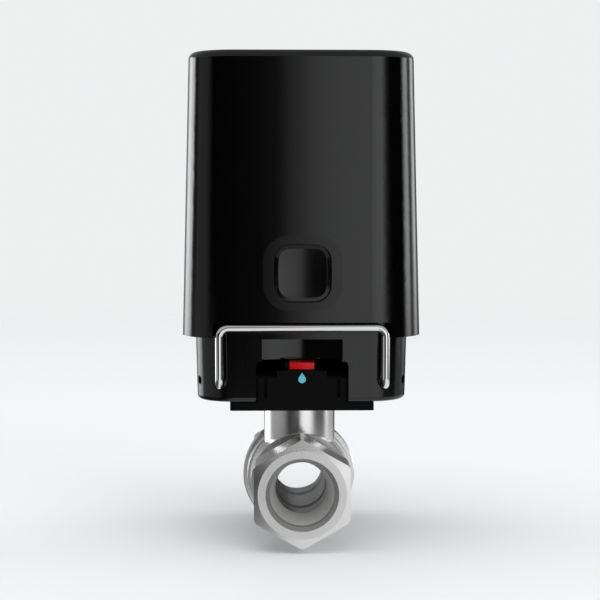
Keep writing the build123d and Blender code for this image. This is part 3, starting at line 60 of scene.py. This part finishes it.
# camera, floor and light
cameraSetup = {
    "place": (-0.012887, -0.461, 0.084183),   # metres
    "down": 3.808, "right": 1.626,            # degrees
    "focalLength": 92.05, "sensor": 36.0,     # millimetres
}
lightSetup = {
    "paleCamera": (0.86, 0.865, 0.87),        # what the camera sees behind the object
    "worldDiffuse": 0.55,
    # soft lamps: azimuth and elevation in degrees, distance, width and height in metres, radiance
    "lamps": {"keySoft": (38, 28, 1.5, 1.0, 1.0, 1.3), "topSoft": (-20, 78, 1.3, 1.2, 1.2, 2.1),
              "leftSoft": (-100, 20, 1.4, 0.8, 1.2, 1.6), "rightSoft": (105, 20, 1.4, 0.8, 1.2, 1.4),
              "backSoft": (180, 30, 1.5, 1.0, 1.0, 1.0)},
    # what gloss mirrors round the object: degrees from the viewer's side, rightwards, and radiance
    "softBoxes": [(-180, 0.12), (-152, 0.5), (-143, 3.2), (-134, 4.7), (-118, 4.6), (-113, 1.6),
                  (-109, 0.15), (-102, 0.10), (-95, 0.36), (-68, 0.34), (-60, 0.14), (-53, 0.0),
                  (-2, 0.01), (0, 0.09), (1.2, 0.40), (2.4, 0.78), (3.6, 1.0), (6, 1.10), (16, 1.5),
                  (29, 1.6), (36, 0.9), (42, 0.24), (49, 0.05), (56, 0.0), (83, 0.0), (88, 0.45),
                  (93, 2.4), (98, 3.4), (104, 3.3), (109, 1.7), (114, 0.35), (119, 0.4), (125, 1.6),
                  (132, 2.8), (139, 1.9), (148, 0.3), (165, 0.05), (180, 0.12)],
    # the same lower down, where the right-hand strips end
    "lowSoftBoxes": [(-180, 0.10), (-152, 0.5), (-143, 1.8), (-134, 2.2), (-118, 2.2), (-113, 0.9),
                     (-109, 0.5), (-102, 0.45), (-52, 0.40), (-44, 0.20), (-38, 0.05), (-2, 0.05),
                     (0, 0.12), (1.2, 0.40), (2.4, 0.78), (3.6, 0.98), (6, 1.05), (16, 1.1),
                     (34, 1.1), (42, 0.7), (49, 0.15), (56, 0.05), (85, 0.05), (93, 0.40),
                     (110, 0.40), (125, 0.35), (138, 0.15), (150, 0.05), (180, 0.10)],
    "glossAbove": 0.45,                       # and what it mirrors overhead,
    "belowLeft": 0.08, "belowRight": 0.85,    # and below, to the left and to the right
    # where these take over: the upward part of the direction, from the first to the second value
    "lowFade": (0.02, -0.17), "aboveFade": (0.145, 0.25), "belowFade": (-0.15, -0.32),
    "belowAcross": (-0.45, -0.08),            # the rightward part, from the left value to the right one
}
floorSetup = {"colour": (0.78, 0.785, 0.79), "solidRadius": 0.30, "clearRadius": 1.17, "edgeRadius": 1.30}


def mathNode(tree, operation, first, second=None, clamp=False):
    node = tree.nodes.new("ShaderNodeMath")
    node.operation, node.use_clamp = operation, clamp
    for socket, value in zip(node.inputs, (first, second)):
        if isinstance(value, (int, float)):
            socket.default_value = value
        elif value is not None:
            tree.links.new(value, socket)
    return node.outputs[0]


def rangeNode(tree, value, low, high, smooth=False):
    # 0 at low, 1 at high and beyond
    node = tree.nodes.new("ShaderNodeMapRange")
    if smooth:
        node.interpolation_type = "SMOOTHSTEP"
    node.inputs["From Min"].default_value, node.inputs["From Max"].default_value = low, high
    tree.links.new(value, node.inputs["Value"])
    return node.outputs["Result"]


def makeCamera():
    data = bpy.data.cameras.new("photoCamera")
    data.sensor_width = cameraSetup["sensor"]
    data.lens = cameraSetup["focalLength"]
    data.clip_start, data.clip_end = 0.01, 50
    camera = bpy.data.objects.new("photoCamera", data)
    bpy.context.scene.collection.objects.link(camera)
    camera.location = cameraSetup["place"]
    camera.rotation_euler = (math.radians(90 - cameraSetup["down"]), 0, math.radians(-cameraSetup["right"]))
    bpy.context.scene.camera = camera


def makePanel(name, azimuth, elevation, distance, width, height, radiance, aim=(0, 0, 0.06)):
    # a soft rectangular lamp: azimuth 0 is the viewer's side, 90 is the right, 180 is behind
    light = bpy.data.lights.new(name, "AREA")
    light.shape = "RECTANGLE"
    light.size, light.size_y = width, height
    light.energy = radiance * math.pi * width * height
    lamp = bpy.data.objects.new(name, light)
    bpy.context.scene.collection.objects.link(lamp)
    a, e = math.radians(azimuth), math.radians(elevation)
    away = np.array([math.sin(a) * math.cos(e), -math.cos(a) * math.cos(e), math.sin(e)])
    lamp.location = Vector(aim) + Vector(away * distance)
    lamp.rotation_euler = Vector(away).to_track_quat("Z", "Y").to_euler()
    lamp.visible_camera = lamp.visible_glossy = False


def azimuthCurve(tree, share, table):
    # a table of degrees and radiances as a curve of the azimuth's share of the turn
    most = max(value for _, value in table)
    curve = tree.nodes.new("ShaderNodeFloatCurve")
    line = curve.mapping.curves[0]
    for angle, value in table[1:-1]:
        line.points.new(angle / 360 + 0.5, value / most)
    line.points[0].location = (0, table[0][1] / most)
    line.points[-1].location = (1, table[-1][1] / most)
    for point in line.points:
        point.handle_type = "VECTOR"
    curve.mapping.update()
    tree.links.new(share, curve.inputs["Value"])
    return mathNode(tree, "MULTIPLY", curve.outputs[0], most)


def roundLight(tree, direction):
    # the soft boxes by azimuth, changed lower down and faded to plain values overhead and below
    split = tree.nodes.new("ShaderNodeSeparateXYZ")
    tree.links.new(direction, split.inputs[0])
    x, y, z = split.outputs
    azimuth = mathNode(tree, "ARCTAN2", x, mathNode(tree, "MULTIPLY", y, -1.0))
    share = mathNode(tree, "ADD", mathNode(tree, "DIVIDE", azimuth, 2 * math.pi), 0.5)
    level = azimuthCurve(tree, share, lightSetup["softBoxes"])
    low = azimuthCurve(tree, share, lightSetup["lowSoftBoxes"])
    below = tree.nodes.new("ShaderNodeMapRange")
    for end, value in zip(("From Min", "From Max"), lightSetup["belowAcross"]):
        below.inputs[end].default_value = value
    below.inputs["To Min"].default_value = lightSetup["belowLeft"]
    below.inputs["To Max"].default_value = lightSetup["belowRight"]
    tree.links.new(x, below.inputs["Value"])
    for fade, value in (("lowFade", low), ("aboveFade", lightSetup["glossAbove"]),
                        ("belowFade", below.outputs["Result"])):
        mix = tree.nodes.new("ShaderNodeMix")
        tree.links.new(rangeNode(tree, z, *lightSetup[fade], smooth=True), mix.inputs["Factor"])
        tree.links.new(level, mix.inputs["A"])
        if isinstance(value, (int, float)):
            mix.inputs["B"].default_value = value
        else:
            tree.links.new(value, mix.inputs["B"])
        level = mix.outputs["Result"]
    return level


def makeWorld():
    world = bpy.data.worlds.new("studio")
    bpy.context.scene.world = world
    world.use_nodes = True
    tree = world.node_tree
    tree.nodes.clear()
    out = tree.nodes.new("ShaderNodeOutputWorld")
    path = tree.nodes.new("ShaderNodeLightPath")
    where = tree.nodes.new("ShaderNodeTexCoord")
    soft, mirror, seen = (tree.nodes.new("ShaderNodeBackground") for _ in range(3))
    soft.inputs["Color"].default_value = (0.98, 0.99, 1.0, 1)
    soft.inputs["Strength"].default_value = lightSetup["worldDiffuse"]
    mirror.inputs["Color"].default_value = (0.98, 0.99, 1.0, 1)
    tree.links.new(roundLight(tree, where.outputs["Generated"]), mirror.inputs["Strength"])
    seen.inputs["Color"].default_value = (*lightSetup["paleCamera"], 1)
    first, second = tree.nodes.new("ShaderNodeMixShader"), tree.nodes.new("ShaderNodeMixShader")
    tree.links.new(path.outputs["Is Glossy Ray"], first.inputs[0])
    tree.links.new(soft.outputs[0], first.inputs[1])
    tree.links.new(mirror.outputs[0], first.inputs[2])
    tree.links.new(path.outputs["Is Camera Ray"], second.inputs[0])
    tree.links.new(first.outputs[0], second.inputs[1])
    tree.links.new(seen.outputs[0], second.inputs[2])
    tree.links.new(second.outputs[0], out.inputs["Surface"])


def makeFloor():
    # a disc under the object, solid near it and fading out, and clear when seen from below
    rings, steps = 12, 64
    radius = np.linspace(0, floorSetup["edgeRadius"], rings)[1:]
    angle = np.linspace(0, 2 * math.pi, steps, endpoint=False)
    low = cadBox[0][2]
    grid = np.stack([np.outer(radius, np.cos(angle)), np.outer(radius, np.sin(angle)),
                     np.full((len(radius), steps), low)], axis=2).reshape(-1, 3)
    points = np.vstack([[0, 0, low], grid])
    k = np.arange(steps)
    after = (k + 1) % steps
    centre = np.stack([np.zeros(steps, int), 1 + k, 1 + after], axis=1).tolist()
    bands = []
    for ring in range(len(radius) - 1):
        a, b = 1 + ring * steps, 1 + (ring + 1) * steps
        bands += np.stack([a + k, b + k, b + after, a + after], axis=1).tolist()
    mesh = bpy.data.meshes.new("floor")
    mesh.from_pydata(points.tolist(), [], centre + bands)
    floor = bpy.data.objects.new("floor", mesh)
    bpy.context.scene.collection.objects.link(floor)
    material = bpy.data.materials.new("paleFloor")
    material.use_nodes = True
    tree = material.node_tree
    shader = tree.nodes["Principled BSDF"]
    shader.inputs["Base Color"].default_value = (*floorSetup["colour"], 1)
    shader.inputs["Roughness"].default_value = 0.9
    shader.inputs["Specular IOR Level"].default_value = 0.1
    clear = tree.nodes.new("ShaderNodeBsdfTransparent")
    mix = tree.nodes.new("ShaderNodeMixShader")
    where = tree.nodes.new("ShaderNodeTexCoord")
    length = tree.nodes.new("ShaderNodeVectorMath")
    length.operation = "LENGTH"
    back = tree.nodes.new("ShaderNodeNewGeometry")
    tree.links.new(where.outputs["Object"], length.inputs[0])
    fade = rangeNode(tree, length.outputs["Value"], floorSetup["solidRadius"], floorSetup["clearRadius"],
                     smooth=True)
    tree.links.new(mathNode(tree, "MAXIMUM", fade, back.outputs["Backfacing"]), mix.inputs[0])
    tree.links.new(shader.outputs[0], mix.inputs[1])
    tree.links.new(clear.outputs[0], mix.inputs[2])
    tree.links.new(mix.outputs[0], tree.nodes["Material Output"].inputs["Surface"])
    mesh.materials.append(material)
    floor.visible_glossy = False


makeCamera()
makeWorld()
makeFloor()
for name, lamp in lightSetup["lamps"].items():
    makePanel(name, *lamp)
bpy.context.scene.view_settings.view_transform = "Standard"
print("stage: camera, floor and light")


# where a finish, a painted light or a painted shade changes on the piece, in metres
finishPlaces = {
    "mouthRadius": 0.01045,                                    # the pipe's mouth, and then its
    "mouthFront": 0.03095, "rimBack": 0.0277, "funnelBack": 0.0189,    # places along the pipe
    "passageRadius": 0.0078,                                   # the water way
    "neckFrom": 0.011, "neckTo": 0.019,                        # heights on the valve's neck
    "topFrom": 0.1246, "topTo": 0.1252,                        # heights on the cover's top
    "indicatorShadeRadius": 0.0155,                                    # radius out to which the indicator is painted near-black, a painted shade
    "plasticWave": 55, "metalWave": 90,                        # slow unevenness, waves for each metre
}


def newGroup(name, inputs, outputs):
    group = bpy.data.node_groups.new(name, "ShaderNodeTree")
    for label, kind, value in inputs:
        socket = group.interface.new_socket(label, in_out="INPUT", socket_type=kind)
        socket.default_value = value
    for label, kind in outputs:
        group.interface.new_socket(label, in_out="OUTPUT", socket_type=kind)
    return group, group.nodes.new("NodeGroupInput"), group.nodes.new("NodeGroupOutput")


def noiseNode(tree, vector, scale, detail, roughness=0.5):
    node = tree.nodes.new("ShaderNodeTexNoise")
    node.inputs["Detail"].default_value = detail
    node.inputs["Roughness"].default_value = roughness
    if isinstance(scale, (int, float)):
        node.inputs["Scale"].default_value = scale
    else:
        tree.links.new(scale, node.inputs["Scale"])
    tree.links.new(vector, node.inputs["Vector"])
    return node.outputs["Fac"]


def makeMouldedGroup():
    # moulded plastic: slow unevenness and a fine grain, as a height, a roughness and a shade
    group, given, out = newGroup(
        "mouldedSkin",
        [("Vector", "NodeSocketVector", (0, 0, 0)), ("Grain Scale", "NodeSocketFloat", 3000.0),
         ("Roughness", "NodeSocketFloat", 0.3), ("Roughness Spread", "NodeSocketFloat", 0.05),
         ("Top Roughness", "NodeSocketFloat", 0.0),
         ("Colour", "NodeSocketColor", (0.5, 0.5, 0.5, 1)), ("Colour Spread", "NodeSocketFloat", 0.1)],
        [("Height", "NodeSocketFloat"), ("Roughness", "NodeSocketFloat"), ("Colour", "NodeSocketColor")])
    where = given.outputs["Vector"]
    grain = noiseNode(group, where, given.outputs["Grain Scale"], 2)
    slow = noiseNode(group, where, finishPlaces["plasticWave"], 3)
    group.links.new(grain, out.inputs["Height"])
    uneven = mathNode(group, "SUBTRACT", slow, 0.5)
    spread = mathNode(group, "MULTIPLY", uneven, given.outputs["Roughness Spread"])
    twice = mathNode(group, "MULTIPLY", spread, 2)
    rough = mathNode(group, "ADD", given.outputs["Roughness"], twice, clamp=True)
    # the cover's flat top is less polished than its sides
    split = group.nodes.new("ShaderNodeSeparateXYZ")
    group.links.new(where, split.inputs[0])
    top = rangeNode(group, split.outputs[2], finishPlaces["topFrom"], finishPlaces["topTo"])
    rougher = mathNode(group, "MULTIPLY", top, given.outputs["Top Roughness"])
    group.links.new(mathNode(group, "ADD", rough, rougher, clamp=True), out.inputs["Roughness"])
    specks = mathNode(group, "SUBTRACT", grain, 0.5)
    shade = mathNode(group, "MULTIPLY", specks, given.outputs["Colour Spread"])
    bright = group.nodes.new("ShaderNodeHueSaturation")
    group.links.new(given.outputs["Colour"], bright.inputs["Color"])
    group.links.new(mathNode(group, "ADD", shade, 1.0), bright.inputs["Value"])
    group.links.new(bright.outputs[0], out.inputs["Colour"])
    return group


def makeMetalGroup():
    # plated or turned metal: fine specks and turning lines round the pipe's axis, with changes of roughness
    # at the pipe's mouth and on the neck, painted light on the mouth's funnel, and painted shade on the
    # mouth's rim and in the water way
    group, given, out = newGroup(
        "metalGrain",
        [("Vector", "NodeSocketVector", (0, 0, 0)), ("Speck Scale", "NodeSocketFloat", 2200.0),
         ("Line Scale", "NodeSocketFloat", 2500.0), ("Line Share", "NodeSocketFloat", 0.5),
         ("Roughness", "NodeSocketFloat", 0.3), ("Roughness Spread", "NodeSocketFloat", 0.1),
         ("Mouth Roughness", "NodeSocketFloat", 0.0), ("Neck Roughness", "NodeSocketFloat", 0.0),
         ("Mouth Dullness", "NodeSocketFloat", 0.0), ("Funnel Painted Light", "NodeSocketFloat", 0.0),
         ("Rim Painted Shade", "NodeSocketFloat", 0.0), ("Passage Painted Shade", "NodeSocketFloat", 0.0),
         ("Colour", "NodeSocketColor", (0.6, 0.6, 0.6, 1)), ("Colour Spread", "NodeSocketFloat", 0.1)],
        [("Height", "NodeSocketFloat"), ("Roughness", "NodeSocketFloat"), ("Colour", "NodeSocketColor"),
         ("Metallic", "NodeSocketFloat")])
    where = given.outputs["Vector"]
    split = group.nodes.new("ShaderNodeSeparateXYZ")
    group.links.new(where, split.inputs[0])
    x, y, z = split.outputs
    away = mathNode(group, "SQRT", mathNode(group, "ADD", mathNode(group, "MULTIPLY", x, x),
                                            mathNode(group, "MULTIPLY", z, z)))
    rings = group.nodes.new("ShaderNodeCombineXYZ")
    group.links.new(away, rings.inputs[0])
    group.links.new(y, rings.inputs[1])
    lines = noiseNode(group, rings.outputs[0], given.outputs["Line Scale"], 1)
    specks = noiseNode(group, where, given.outputs["Speck Scale"], 3, 0.65)
    slow = noiseNode(group, where, finishPlaces["metalWave"], 3)
    mixed = group.nodes.new("ShaderNodeMix")
    group.links.new(given.outputs["Line Share"], mixed.inputs["Factor"])
    group.links.new(specks, mixed.inputs["A"])
    group.links.new(lines, mixed.inputs["B"])
    grain = mixed.outputs["Result"]
    group.links.new(grain, out.inputs["Height"])
    both = mathNode(group, "SUBTRACT", mathNode(group, "ADD", grain, slow), 1.0)
    rough = mathNode(group, "ADD", given.outputs["Roughness"],
                     mathNode(group, "MULTIPLY", both, given.outputs["Roughness Spread"]))
    depth = mathNode(group, "ABSOLUTE", y)
    place = finishPlaces
    mouth = mathNode(group, "MULTIPLY", mathNode(group, "LESS_THAN", away, place["mouthRadius"]),
                     mathNode(group, "MULTIPLY", mathNode(group, "GREATER_THAN", depth, place["funnelBack"]),
                              mathNode(group, "LESS_THAN", depth, place["mouthFront"])))
    rimPaintedShade = mathNode(group, "MULTIPLY", mouth, mathNode(group, "GREATER_THAN", depth, place["rimBack"]))
    funnelPaintedLight = mathNode(group, "SUBTRACT", mouth, rimPaintedShade)
    passagePaintedShade = mathNode(group, "MULTIPLY", mathNode(group, "LESS_THAN", away, place["passageRadius"]),
                       mathNode(group, "LESS_THAN", depth, place["funnelBack"]))
    neck = rangeNode(group, z, place["neckFrom"], place["neckTo"], smooth=True)
    dull = mathNode(group, "MULTIPLY", mouth, given.outputs["Mouth Dullness"])
    group.links.new(mathNode(group, "SUBTRACT", 1.0, dull), out.inputs["Metallic"])
    for mask, change in ((mouth, "Mouth Roughness"), (neck, "Neck Roughness")):
        added = mathNode(group, "MULTIPLY", mask, given.outputs[change])
        rough = mathNode(group, "ADD", rough, added, clamp=True)
    group.links.new(rough, out.inputs["Roughness"])
    value = mathNode(group, "ADD", mathNode(group, "MULTIPLY", both, given.outputs["Colour Spread"]), 1.0)
    # painted light brightens the funnel; painted shade darkens the mouth's rim and the water way
    for mask, change in ((funnelPaintedLight, "Funnel Painted Light"), (rimPaintedShade, "Rim Painted Shade"), (passagePaintedShade, "Passage Painted Shade")):
        value = mathNode(group, "ADD", value, mathNode(group, "MULTIPLY", mask, given.outputs[change]))
    bright = group.nodes.new("ShaderNodeHueSaturation")
    group.links.new(given.outputs["Colour"], bright.inputs["Color"])
    group.links.new(value, bright.inputs["Value"])
    group.links.new(bright.outputs[0], out.inputs["Colour"])
    return group


mouldedGroup = makeMouldedGroup()
metalGroup = makeMetalGroup()
print("stage: shared effects")


reliefDepth = 0.0001     # metres, for a bump strength of 1


def startMaterial(name, group, values, bump, paintedShadeInside=None):
    # a Principled shader fed by one shared effect, read on Object coordinates
    material = bpy.data.materials.new(name)
    material.use_nodes = True
    tree = material.node_tree
    shader = tree.nodes["Principled BSDF"]
    where = tree.nodes.new("ShaderNodeTexCoord")
    effect = tree.nodes.new("ShaderNodeGroup")
    effect.node_tree = group
    for label, value in values.items():
        effect.inputs[label].default_value = value
    tree.links.new(where.outputs["Object"], effect.inputs["Vector"])
    tree.links.new(effect.outputs["Colour"], shader.inputs["Base Color"])
    tree.links.new(effect.outputs["Roughness"], shader.inputs["Roughness"])
    if paintedShadeInside:
        # painted shade: a near-black colour round the upright axis, out to the hub's radius
        flat = tree.nodes.new("ShaderNodeVectorMath")
        flat.operation = "MULTIPLY"
        flat.inputs[1].default_value = (1, 1, 0)
        reach = tree.nodes.new("ShaderNodeVectorMath")
        reach.operation = "LENGTH"
        tree.links.new(where.outputs["Object"], flat.inputs[0])
        tree.links.new(flat.outputs[0], reach.inputs[0])
        pick = tree.nodes.new("ShaderNodeMix")
        pick.data_type = "RGBA"
        outside = mathNode(tree, "GREATER_THAN", reach.outputs["Value"], finishPlaces["indicatorShadeRadius"])
        tree.links.new(outside, pick.inputs["Factor"])
        pick.inputs[6].default_value = (*paintedShadeInside, 1)
        tree.links.new(effect.outputs["Colour"], pick.inputs[7])
        tree.links.new(pick.outputs[2], shader.inputs["Base Color"])
    relief = tree.nodes.new("ShaderNodeBump")
    relief.inputs["Strength"].default_value = bump
    relief.inputs["Distance"].default_value = reliefDepth
    tree.links.new(effect.outputs["Height"], relief.inputs["Height"])
    tree.links.new(relief.outputs["Normal"], shader.inputs["Normal"])
    return material, shader


def mouldedPlastic(name, colour, roughness, spread=0.04, grain=3000.0, bump=0.04, coat=0.0, ior=1.5,
                   paintedShadeInside=None, top=0.0):
    material, shader = startMaterial(
        name, mouldedGroup,
        {"Grain Scale": grain, "Roughness": roughness, "Roughness Spread": spread, "Top Roughness": top,
         "Colour": (*colour, 1), "Colour Spread": 0.12}, bump, paintedShadeInside)
    shader.inputs["IOR"].default_value = ior
    shader.inputs["Coat Weight"].default_value = coat
    shader.inputs["Coat Roughness"].default_value = 0.03
    return material


def finishedMetal(name, colour, roughness, spread=0.1, specks=2200.0, lines=2500.0, lineShare=0.3,
                  colourSpread=0.25, bump=0.12, mouth=0.0, neck=0.0, dullness=0.0, funnelPaintedLight=0.0, rimPaintedShade=0.0,
                  passagePaintedShade=0.0):
    material, shader = startMaterial(
        name, metalGroup,
        {"Speck Scale": specks, "Line Scale": lines, "Line Share": lineShare, "Roughness": roughness,
         "Roughness Spread": spread, "Colour": (*colour, 1), "Colour Spread": colourSpread,
         "Mouth Roughness": mouth, "Neck Roughness": neck, "Mouth Dullness": dullness,
         "Funnel Painted Light": funnelPaintedLight, "Rim Painted Shade": rimPaintedShade, "Passage Painted Shade": passagePaintedShade}, bump)
    if dullness:
        effect = shader.inputs["Base Color"].links[0].from_node
        material.node_tree.links.new(effect.outputs["Metallic"], shader.inputs["Metallic"])
    else:
        shader.inputs["Metallic"].default_value = 1.0
    return material


finishes = {
    # the nickel has painted light on the mouth's funnel, and painted shade on the mouth's rim and in the
    # water way
    "nickel_plated_brass": finishedMetal("satinNickel", (0.78, 0.775, 0.765), 0.29, spread=0.10,
                                         specks=3000.0, lineShare=0.15, colourSpread=0.16, bump=0.16,
                                         mouth=0.26, neck=-0.08, dullness=0.38, funnelPaintedLight=0.22, rimPaintedShade=-0.62,
                                         passagePaintedShade=-0.72),
    # painted shade in the ball's bore, the water way
    "polished_ball": finishedMetal("polishedBall", (0.72, 0.715, 0.705), 0.26, bump=0.05, passagePaintedShade=-0.72),
    "brass": finishedMetal("machinedBrass", (0.72, 0.53, 0.24), 0.28),
    "seat_white": mouldedPlastic("seatFilled", (0.11, 0.11, 0.11), 0.45),
    "rubber_black": mouldedPlastic("sealRubber", (0.020, 0.020, 0.020), 0.62, bump=0.15),
    "spring_steel": finishedMetal("springSteel", (0.55, 0.55, 0.54), 0.25),
    "screw_steel": finishedMetal("zincScrew", (0.45, 0.45, 0.46), 0.32),
    "gloss_black": mouldedPlastic("pianoBlack", (0.0010, 0.0010, 0.0011), 0.045, spread=0.01,
                                  bump=0.002, top=0.36),
    "matte_black": mouldedPlastic("satinBlack", (0.0024, 0.0024, 0.0026), 0.50, grain=2600.0, bump=0.2,
                                  ior=1.17),
    "button_black": mouldedPlastic("buttonBlack", (0.0016, 0.0016, 0.0017), 0.12, spread=0.01,
                                   bump=0.004),
    # red, with a painted shade: near-black inside the hub's radius
    "indicator_red": mouldedPlastic("indicatorRed", (0.64, 0.002, 0.005), 0.20, ior=1.32,
                                    paintedShadeInside=(0.012, 0.002, 0.002)),
    "drop_blue": mouldedPlastic("dropBlue", (0.11, 0.50, 0.64), 0.5),
    "bail_wire": finishedMetal("polishedWire", (0.80, 0.80, 0.795), 0.07, spread=0.02, lineShare=0.0,
                               colourSpread=0.04, bump=0.01),
    "gear_white": mouldedPlastic("gearAcetal", (0.74, 0.73, 0.69), 0.35),
    "bush_bronze": finishedMetal("sinteredBronze", (0.50, 0.34, 0.17), 0.5, specks=4000.0),
    "case_grey": mouldedPlastic("caseGrey", (0.045, 0.045, 0.048), 0.45, bump=0.2),
    "motor_can": finishedMetal("motorCan", (0.60, 0.60, 0.60), 0.3, colourSpread=0.15),
    "magnet": finishedMetal("magnetPlate", (0.55, 0.55, 0.55), 0.15),
    "circuit_green": mouldedPlastic("solderMask", (0.010, 0.12, 0.045), 0.25),
    "chip_black": mouldedPlastic("chipBlack", (0.015, 0.015, 0.016), 0.5, bump=0.2),
    "radio_can": finishedMetal("shieldCan", (0.66, 0.66, 0.65), 0.3),
    "connector_cream": mouldedPlastic("connectorCream", (0.72, 0.66, 0.50), 0.4),
    "switch_black": mouldedPlastic("switchBlack", (0.02, 0.02, 0.02), 0.4),
    "cell_jacket": mouldedPlastic("cellJacket", (0.030, 0.055, 0.11), 0.22, coat=0.4),
    "contact_nickel": finishedMetal("contactNickel", (0.68, 0.67, 0.64), 0.25),
    "lead_red": mouldedPlastic("leadRed", (0.40, 0.015, 0.015), 0.4),
    "lead_black": mouldedPlastic("leadBlack", (0.02, 0.02, 0.02), 0.4),
}
for entry in frame["record"]["subparts"]:
    mesh = nodes[entry["node"]].data
    mesh.materials.clear()
    mesh.materials.append(finishes[entry["material_slot"]])
print("stage: materials")

# the bail: a round wire swept along its bent centre line
bailWire = {"radius": 1.1, "legPlace": 23.4, "plane": 32.592, "barHeight": 47.9, "prongHeight": 31.3,
            "prongEnd": 12.0, "topBend": 2.7, "footBend": 2.2, "stepsRound": 40, "stepsBend": 14}


def bendPoints(corner, before, after, radius, steps):
    # an arc tangent to two square directions: corner - r*before + r*(before*sin t + after*(1 - cos t))
    t = np.linspace(0, math.pi / 2, steps)[:, None]
    return corner - radius * before + radius * (before * np.sin(t) + after * (1 - np.cos(t)))


def makeBail():
    s = bailWire
    right, up, back = (np.array(v, float) for v in ((1, 0, 0), (0, 0, 1), (0, 1, 0)))
    x, y = s["legPlace"], -s["plane"]
    feet = [np.array([side * x, y, s["prongHeight"]]) for side in (-1, 1)]
    tops = [np.array([side * x, y, s["barHeight"]]) for side in (-1, 1)]
    ends = [np.array([side * x, s["prongEnd"], s["prongHeight"]]) for side in (-1, 1)]
    path = np.vstack([ends[0], bendPoints(feet[0], -back, up, s["footBend"], s["stepsBend"]),
                      bendPoints(tops[0], up, right, s["topBend"], s["stepsBend"]),
                      bendPoints(tops[1], right, -up, s["topBend"], s["stepsBend"]),
                      bendPoints(feet[1], -up, back, s["footBend"], s["stepsBend"]), ends[1]])
    ahead = np.gradient(path, axis=0)
    ahead[0], ahead[-1] = path[1] - path[0], path[-1] - path[-2]
    ahead /= np.linalg.norm(ahead, axis=1)[:, None]
    # a ring at each point p of the line: p + r*(across*cos u + other*sin u), square to the line;
    # X stays across in the feet, Y stays across between them
    fromStart = np.arange(len(path))
    inFoot = (fromStart <= s["stepsBend"]) | (fromStart >= len(path) - 1 - s["stepsBend"])
    side = np.where(fromStart < len(path) / 2, 1.0, -1.0)[:, None]
    acrossFoot = side * np.array([1.0, 0, 0])
    acrossBar = np.cross(np.array([0, 1.0, 0]), ahead)
    across = np.where(inFoot[:, None], acrossFoot, acrossBar)
    across -= (across * ahead).sum(axis=1)[:, None] * ahead
    across /= np.linalg.norm(across, axis=1)[:, None]
    other = np.cross(ahead, across)
    turn = np.linspace(0, 2 * math.pi, s["stepsRound"], endpoint=False)
    cosine, sine = np.cos(turn)[None, :, None], np.sin(turn)[None, :, None]
    grid = path[:, None, :] + s["radius"] * (cosine * across[:, None, :] + sine * other[:, None, :])
    return gridPiece("bailWire", grid / 1000)


def gridPiece(name, grid):
    # a grid of points as a smooth tube: each row is a closed ring, and the end rings are capped
    rows, columns = grid.shape[:2]
    number = np.arange(rows * columns).reshape(rows, columns)
    after = np.roll(number, -1, axis=1)
    faces = np.stack([number[:-1], after[:-1], after[1:], number[1:]], axis=-1).reshape(-1, 4).tolist()
    faces += [number[0][::-1].tolist(), number[-1].tolist()]
    mesh = bpy.data.meshes.new(name)
    mesh.from_pydata(grid.reshape(-1, 3).tolist(), [], faces)
    mesh.polygons.foreach_set("use_smooth", [len(face) == 4 for face in faces])
    mesh.update()
    piece = bpy.data.objects.new(name, mesh)
    bpy.context.scene.collection.objects.link(piece)
    return piece


bail = makeBail()
bail.data.materials.append(finishes["bail_wire"])
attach(bail, "bail")
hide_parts("bail")
print("stage: bail wire")
